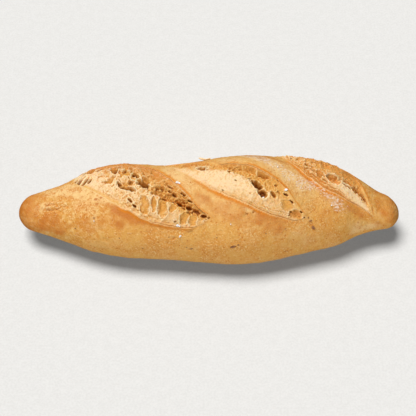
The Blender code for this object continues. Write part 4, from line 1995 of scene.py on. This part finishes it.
MIDDLE_SLASH = Slash(
    name="middle",
    front=(51.3 * MM, -20.3 * MM),
    back=(-27 * MM, 26 * MM),
    low_edge=(0.0, -4.6, -6.9, -9.6, -10.4, -10.9, -10.9, -10.1, -9.1, -5.6, 0.0),
    high_edge=(0.0, 1.0, 3.2, 6.7, 7.3, 7.4, 5.2, 3.6, 6.4, 5.5, 0.0),
    rim=0.8 * MM,
    flap=(0.0, 1.6, 3.4, 4.3, 4.2, 2.8, 1.4, 0.6, 0.0),
    step=(0.3, 0.7, 0.6, 0.5, 0.45, 0.35, 0.25, 0.1, 0.0),
    high_step=(-0.05, -0.05, 0.3, 0.6, 0.5, 0.1, 0.2, 0.1, 0.0),
    heights=HeightCage(
        rows=(
            (-0.2, -0.2, -0.2, -0.2, -0.2, -0.2, -0.2, -0.2),
            (-0.2, -0.2, -0.1, 0.0, 0.0, -0.2, -0.4, -0.2),
            (-0.2, 0.0, 0.3, 0.4, 0.1, -0.8, -1.2, -0.4),
            (-0.2, 0.1, 0.5, 0.8, 0.4, -1.2, -2.0, -0.5),
            (-0.2, 0.1, 0.5, 1.0, 0.8, -0.9, -2.2, -0.5),
            (-0.2, 0.1, 0.5, 1.0, 1.0, 0.0, -1.2, -0.4),
            (-0.2, 0.0, 0.4, 0.8, 0.8, 0.1, -0.8, -0.4),
            (-0.2, 0.0, 0.3, 0.5, 0.5, 0.0, -0.5, -0.3),
            (-0.2, -0.2, -0.2, -0.2, -0.2, -0.2, -0.2, -0.2),
        )
    ),
    furrow=Furrow(
        steps=(
            FurrowStep(0.0, 0.50, 0.0),
            FurrowStep(0.2, 0.58, 0.3),
            FurrowStep(0.3, 0.60, 0.9),
            FurrowStep(0.4, 0.67, 0.8),
            FurrowStep(0.5, 0.80, 0.5),
            FurrowStep(0.6, 0.85, 0.3),
            FurrowStep(0.75, 0.60, 0.3),
            FurrowStep(1.0, 0.60, 0.0),
        ),
        low_width=1.5 * MM,
        high_width=3.0 * MM,
    ),
    strata=(0.2, 0.8, 0.9, 0.3, 0.1, 0.0, 0.0, 0.0, 0.0),
    open_crumb=LookCage(
        rows=(
            (0.1, 0.1, 0.1, 0.1, 0.1, 0.1),
            (0.05, 0.1, 0.2, 0.25, 0.2, 0.1),
            (0.10, 0.1, 0.1, 0.35, 0.7, 0.6),
            (0.10, 0.05, 0.05, 0.25, 0.75, 0.6),
            (0.05, 0.05, 0.05, 0.3, 0.7, 0.6),
            (0.1, 0.1, 0.4, 0.8, 0.9, 0.6),
            (0.1, 0.2, 0.4, 0.5, 0.5, 0.3),
        )
    ),
    toasted=LookCage(
        rows=(
            (0.0, 0.0, 0.0, 0.0, 0.0, 0.1),
            (0.1, 0.0, 0.0, 0.0, 0.1, 0.3),
            (0.3, 0.0, 0.0, 0.0, 0.1, 0.6),
            (0.25, 0.0, 0.0, 0.0, 0.15, 0.6),
            (0.15, 0.0, 0.0, 0.1, 0.3, 0.7),
            (0.1, 0.1, 0.45, 0.8, 0.9, 0.9),
            (0.0, 0.0, 0.2, 0.4, 0.5, 0.5),
        )
    ),
    amber=LookCage(
        rows=(
            (0.6, 0.6, 0.6, 0.6, 0.5, 0.4),
            (0.6, 0.5, 0.6, 0.8, 0.8, 0.7),
            (0.8, 0.5, 0.4, 0.8, 1.2, 1.2),
            (0.7, 0.2, 0.0, 0.4, 1.2, 1.3),
            (0.5, 0.05, 0.0, 0.15, 0.8, 1.1),
            (0.4, 0.3, 0.9, 1.2, 1.2, 1.2),
            (0.7, 0.8, 1.0, 1.0, 1.0, 1.0),
        )
    ),
    bowls=(
        PlacedPore(45.6, -19.4, 3.9, 2.4, 2.0, -12, 0.8),
        PlacedPore(40.5, -15.5, 3.6, 2.8, 0.6, -50, 0.0),
    ),
    placed=(
        PlacedPore(25.6, -5.4, 4.4, 2.2, 4.0, -40),
        PlacedPore(28.2, -9.6, 3.2, 2.3, 4.0, -48),
        PlacedPore(21.5, -1.4, 1.5, 0.7, 1.2, 10, 0.9),
        PlacedPore(23.3, -2.9, 1.6, 0.7, 1.4, -60),
        PlacedPore(34.0, -10.2, 2.5, 1.4, 2.0, -60, 0.75),
        PlacedPore(36.4, -8.6, 1.6, 0.7, 0.8, -50, 0.5),
        PlacedPore(40.2, -9.7, 1.5, 0.6, 1.2, -25),
        PlacedPore(43.3, -13.2, 1.7, 0.6, 1.2, -40),
        PlacedPore(42.8, -18.2, 1.2, 0.8, 1.0, -20, 0.8),
        PlacedPore(44.6, -17.4, 0.9, 0.7, 0.8, 0, 0.5),
        PlacedPore(45.6, -20.2, 1.0, 0.7, 0.8, 0, 0.5),
        PlacedPore(48.2, -17.9, 1.1, 0.8, 1.0, -30, 0.8),
        PlacedPore(47.2, -20.3, 0.8, 0.6, 0.7, 0, 0.6),
        PlacedPore(41.9, -20.1, 0.8, 0.5, 0.7, 0, 0.6),
        PlacedPore(49.8, -20.4, 0.8, 0.4, 0.9, -30),
        PlacedPore(-3.0, 9.4, 2.8, 1.6, 3.0, -35),
        PlacedPore(0.2, 7.8, 1.2, 0.8, 1.4, -20),
        PlacedPore(-5.8, 12.4, 1.2, 0.8, 1.2, -20, 0.8),
        PlacedPore(-11.4, 17.0, 3.0, 1.2, 1.4, -30, 0.8),
        PlacedPore(-15.5, 19.5, 2.4, 0.9, 1.0, -30, 0.7),
        PlacedPore(-0.5, 10.2, 1.2, 0.7, 1.4, -10),
        PlacedPore(-0.9, 11.6, 0.9, 0.5, 1.0, 0, 0.8),
        PlacedPore(-2.0, 14.0, 2.0, 0.9, 0.8, -10, 0.6),
        PlacedPore(-9.0, 15.0, 2.6, 1.0, 1.0, 0, 0.6),
        PlacedPore(12.0, 3.2, 1.5, 0.6, 1.2, -25, 0.9),
        PlacedPore(13.9, 1.8, 1.0, 0.5, 0.9, -30, 0.6),
        PlacedPore(13.8, 5.0, 1.3, 0.5, 1.2, -25),
        PlacedPore(10.2, 5.4, 1.6, 0.5, 1.2, -18),
        PlacedPore(6.4, 6.9, 0.6, 0.4, 0.8, 0),
        PlacedPore(14.6, -2.7, 1.0, 0.4, 0.8, -30),
        PlacedPore(17.0, 1.4, 1.0, 0.5, 0.9, -35, 0.9),
        PlacedPore(18.4, 0.9, 0.9, 0.7, 0.6, 0, 0.5),
        PlacedPore(29.8, -4.6, 1.3, 0.7, 0.8, -60, 0.5),
        PlacedPore(35.3, -5.2, 1.1, 0.8, 0.7, 0, 0.6),
        PlacedPore(36.2, -3.0, 1.1, 0.4, 0.8, -35, 0.9),
        PlacedPore(17.6, 4.4, 1.6, 0.8, 0.5, -10, 0.2),
        PlacedPore(22.6, 3.0, 3.0, 1.5, 0.7, -20, 0.2),
        PlacedPore(29.0, -0.2, 3.6, 0.9, 0.7, -22, 0.4),
        PlacedPore(22.0, -9.8, 1.0, 0.5, 0.4, -20, 0.3),
    ),
    pore_count=260,
    pore_sizes=(0.25, 1.1),
    lump=0.30 * MM,
    seed=7,
)

RIGHT_SLASH = Slash(
    name="right",
    front=(86.6 * MM, -9.6 * MM),
    back=(35 * MM, 35 * MM),
    low_edge=(0.0, -1.0, -3.1, -7.4, -10.9, -12.4, -12.9, -11.9, -10.3, -6.6, 0.0),
    high_edge=(0.0, 2.0, 3.8, 6.8, 11.0, 11.4, 10.6, 9.3, 7.6, 4.6, 0.0),
    rim=0.6 * MM,
    flap=(0.4, 2.2, 3.2, 3.1, 2.4, 1.8, 1.2, 0.6, 0.0),
    step=(0.3, 0.5, 0.5, 0.6, 0.6, 0.6, 0.5, 0.4, 0.2),
    high_step=(-0.05, -0.05, 0.4, 0.4, 0.3, 0.3, 0.2, 0.1, 0.0),
    heights=HeightCage(
        rows=(
            (-0.2, -0.2, -0.2, -0.2, -0.2, -0.2, -0.2, -0.2),
            (-0.3, 0.0, 0.2, 0.3, 0.2, -0.1, -0.4, -0.2),
            (-0.3, 0.2, 0.6, 0.8, 0.4, -0.6, -1.0, -0.3),
            (-0.3, 0.3, 0.9, 0.8, -0.1, -0.8, -0.7, -0.3),
            (-0.3, 0.4, 0.9, 0.9, 0.7, 0.4, 0.2, -0.3),
            (-0.3, 0.3, 0.8, 1.0, 1.0, 0.8, 0.5, -0.3),
            (-0.3, 0.2, 0.8, 1.2, 1.3, 1.0, 0.6, -0.3),
            (-0.3, 0.1, 0.5, 0.8, 0.9, 0.8, 0.4, -0.3),
            (-0.2, -0.2, -0.2, -0.2, -0.2, -0.2, -0.2, -0.2),
        )
    ),
    furrow=Furrow(
        steps=(
            FurrowStep(0.00, 0.75, 0.0),
            FurrowStep(0.06, 0.78, 0.8),
            FurrowStep(0.12, 0.72, 3.4),
            FurrowStep(0.20, 0.62, 3.4),
            FurrowStep(0.27, 0.52, 3.0),
            FurrowStep(0.32, 0.46, 1.8),
            FurrowStep(0.38, 0.36, 0.8),
            FurrowStep(0.50, 0.36, 0.4),
            FurrowStep(1.00, 0.40, 0.0),
        ),
        low_width=0.65 * MM,
        high_width=3.0 * MM,
    ),
    strata=(0.0, 0.2, 0.7, 1.0, 1.0, 1.0, 0.8, 0.4, 0.0),
    open_crumb=LookCage(
        rows=(
            (0.05, 0.05, 0.1, 0.2, 0.2, 0.1),
            (0.1, 0.02, 0.05, 0.2, 0.4, 0.2),
            (0.1, 0.05, 0.15, 0.5, 0.4, 0.2),
            (0.3, 0.6, 0.7, 0.7, 0.5, 0.3),
            (0.3, 0.8, 0.9, 0.7, 0.6, 0.3),
            (0.3, 0.8, 0.9, 0.7, 0.6, 0.3),
            (0.1, 0.5, 0.6, 0.5, 0.3, 0.1),
        )
    ),
    toasted=LookCage(
        rows=(
            (0.1, 0.0, 0.0, 0.1, 0.1, 0.1),
            (0.8, 0.1, 0.0, 0.35, 0.45, 0.5),
            (1.2, 0.4, 0.1, 0.6, 0.7, 0.8),
            (1.0, 0.6, 0.45, 0.65, 0.8, 0.9),
            (0.7, 0.5, 0.5, 0.7, 0.8, 0.9),
            (0.3, 0.3, 0.5, 0.7, 0.7, 0.8),
            (0.2, 0.3, 0.4, 0.5, 0.5, 0.5),
        )
    ),
    amber=LookCage(
        rows=(
            (0.4, 0.2, 0.2, 0.4, 0.4, 0.3),
            (0.8, 0.3, 0.1, 0.7, 0.9, 0.8),
            (1.0, 0.4, 0.2, 0.9, 1.0, 1.0),
            (1.0, 0.7, 0.8, 1.0, 1.0, 1.0),
            (1.0, 0.7, 0.7, 1.0, 1.0, 1.0),
            (0.7, 0.6, 0.6, 0.8, 0.8, 0.7),
            (0.4, 0.4, 0.4, 0.5, 0.5, 0.4),
        )
    ),
    bowls=(
        PlacedPore(65.8, 2.8, 4.6, 3.2, 3.0, -18, 0.6),
        PlacedPore(58.8, 5.2, 2.6, 1.6, 1.0, -40, 0.4),
    ),
    placed=(
        PlacedPore(81.4, -2.6, 2.4, 0.9, 2.2, -42),
        PlacedPore(79.0, -1.2, 1.6, 0.8, 1.6, -40, 0.9),
        PlacedPore(76.6, -0.6, 2.2, 0.8, 1.8, -38),
        PlacedPore(74.0, 0.2, 1.6, 0.7, 1.4, -38, 0.9),
        PlacedPore(71.4, 0.9, 1.8, 0.7, 1.4, -25, 0.9),
        PlacedPore(69.2, 2.0, 1.4, 0.5, 1.0, -30, 0.7),
        PlacedPore(77.4, 2.2, 3.2, 0.4, 0.8, -45, 0.6),
        PlacedPore(73.6, 5.0, 3.6, 0.4, 0.8, -42, 0.5),
        PlacedPore(80.6, -3.6, 0.6, 0.4, 0.8, -40, 0.9),
        PlacedPore(53.8, 10.2, 3.2, 1.4, 1.4, -30, 0.5),
        PlacedPore(57.9, 5.0, 3.4, 1.2, 1.6, -45, 0.6),
        PlacedPore(61.0, 1.2, 2.4, 0.8, 1.2, -45, 0.6),
        PlacedPore(55.9, 14.5, 2.4, 0.8, 1.2, -10, 0.8),
        PlacedPore(59.0, 14.2, 1.2, 0.7, 1.0, -20, 0.8),
        PlacedPore(51.8, 8.4, 1.8, 0.7, 1.0, -20, 0.7),
        PlacedPore(55.6, 6.2, 1.6, 0.6, 1.0, -40, 0.7),
        PlacedPore(60.4, 4.0, 2.0, 0.8, 1.2, -40, 0.7),
        PlacedPore(76.2, 6.8, 0.9, 0.6, 0.8, 0, 0.6),
        PlacedPore(73.0, 8.2, 0.8, 0.5, 0.8, 0, 0.6),
        PlacedPore(79.0, 3.0, 0.8, 0.5, 0.8, -40, 0.6),
        PlacedPore(70.0, 9.0, 1.0, 0.6, 0.8, -20, 0.6),
    ),
    pore_count=300,
    pore_sizes=(0.25, 1.1),
    lump=0.60 * MM,
    seed=12,
)


SALT = Sprinkle(
    name="salt",
    chips=(
        Chip(-15.4, 0.9, 1.5, 1.1, 20),
        Chip(-14.2, 0.2, 0.9, 0.7, -30),
        Chip(-15.1, -21.6, 1.5, 1.0, 10),
        Chip(-13.9, -22.0, 0.7, 0.6, 40),
        Chip(40.3, -7.6, 1.4, 1.0, 15),
        Chip(28.6, -11.9, 1.1, 0.8, 35),
        Chip(36.5, 5.5, 0.6, 0.5, 50),
        Chip(-13.7, -27.2, 1.2, 0.5, 45),
        Chip(-58.0, -18.0, 0.5, 0.4, 0),
        Chip(12.0, -24.0, 0.5, 0.5, 30),
        Chip(64.0, -12.0, 0.6, 0.5, 60),
        Chip(-30.0, 2.0, 0.5, 0.4, 10),
    ),
    thickness=0.8 * MM,
    corners=4,
    sunk=0.25,
    tilt=25,
    seed=3,
)

BRAN = Sprinkle(
    name="bran",
    chips=(
        Chip(13.3, -36.4, 3.0, 1.3, 20),
        Chip(16.0, -35.6, 1.0, 0.7, 0),
        Chip(54.5, -25.0, 2.3, 1.6, -35),
        Chip(53.1, -21.6, 1.6, 0.9, 10),
        Chip(51.9, -20.2, 1.0, 0.6, 50),
        Chip(-57.9, -16.5, 0.8, 0.7, 0),
        Chip(-7.9, -35.0, 1.3, 0.8, 30),
        Chip(-10.5, -34.0, 0.7, 0.5, 0),
        Chip(8.1, -5.9, 1.4, 0.6, -25),
        Chip(-19.5, -27.6, 0.6, 0.5, 0),
        Chip(-33.0, -34.0, 0.7, 0.5, 20),
        Chip(-45.0, -28.0, 0.6, 0.5, -20),
        Chip(-68.0, -20.0, 0.9, 0.6, 10),
        Chip(30.0, -30.0, 0.7, 0.5, -10),
        Chip(40.0, -27.0, 0.6, 0.4, 30),
        Chip(44.4, 18.2, 0.8, 0.5, 0),
        Chip(48.9, 21.4, 0.9, 0.5, 0),
        Chip(5.0, -30.0, 0.6, 0.5, 0),
    ),
    thickness=0.22 * MM,
    corners=9,
    sunk=0.30,
    tilt=5,
    seed=4,
)


def main() -> None:
    """Build the loaf and its stage."""
    logging.basicConfig(level=logging.INFO, format="%(name)s: %(message)s")
    form = LoafForm()
    slashes = (LEFT_SLASH, MIDDLE_SLASH, RIGHT_SLASH)
    pieces = [Crust(form, slashes).build(CrustFinish().make())]
    crumb = CrumbFinish().make()
    pieces += [CrumbPillow(form, slash).build(crumb) for slash in slashes]
    ground = Ground(form, list(pieces))
    salt = SpeckFinish("salt_crystal", (0.95, 0.93, 0.90), (0.86, 0.82, 0.76), 0.25)
    bran = SpeckFinish("bran_flake", (0.24, 0.095, 0.035), (0.36, 0.16, 0.070), 0.9)
    flake = SpeckFinish("crust_flake", (0.95, 0.77, 0.52), (0.88, 0.60, 0.29), 0.6)
    pieces.append(SALT.build(ground, salt.make()))
    pieces.append(BRAN.build(ground, bran.make()))
    pieces.append(LooseFlake().build(ground, flake.make()))
    Stage().build(pieces)


if __name__ == "__main__":
    main()
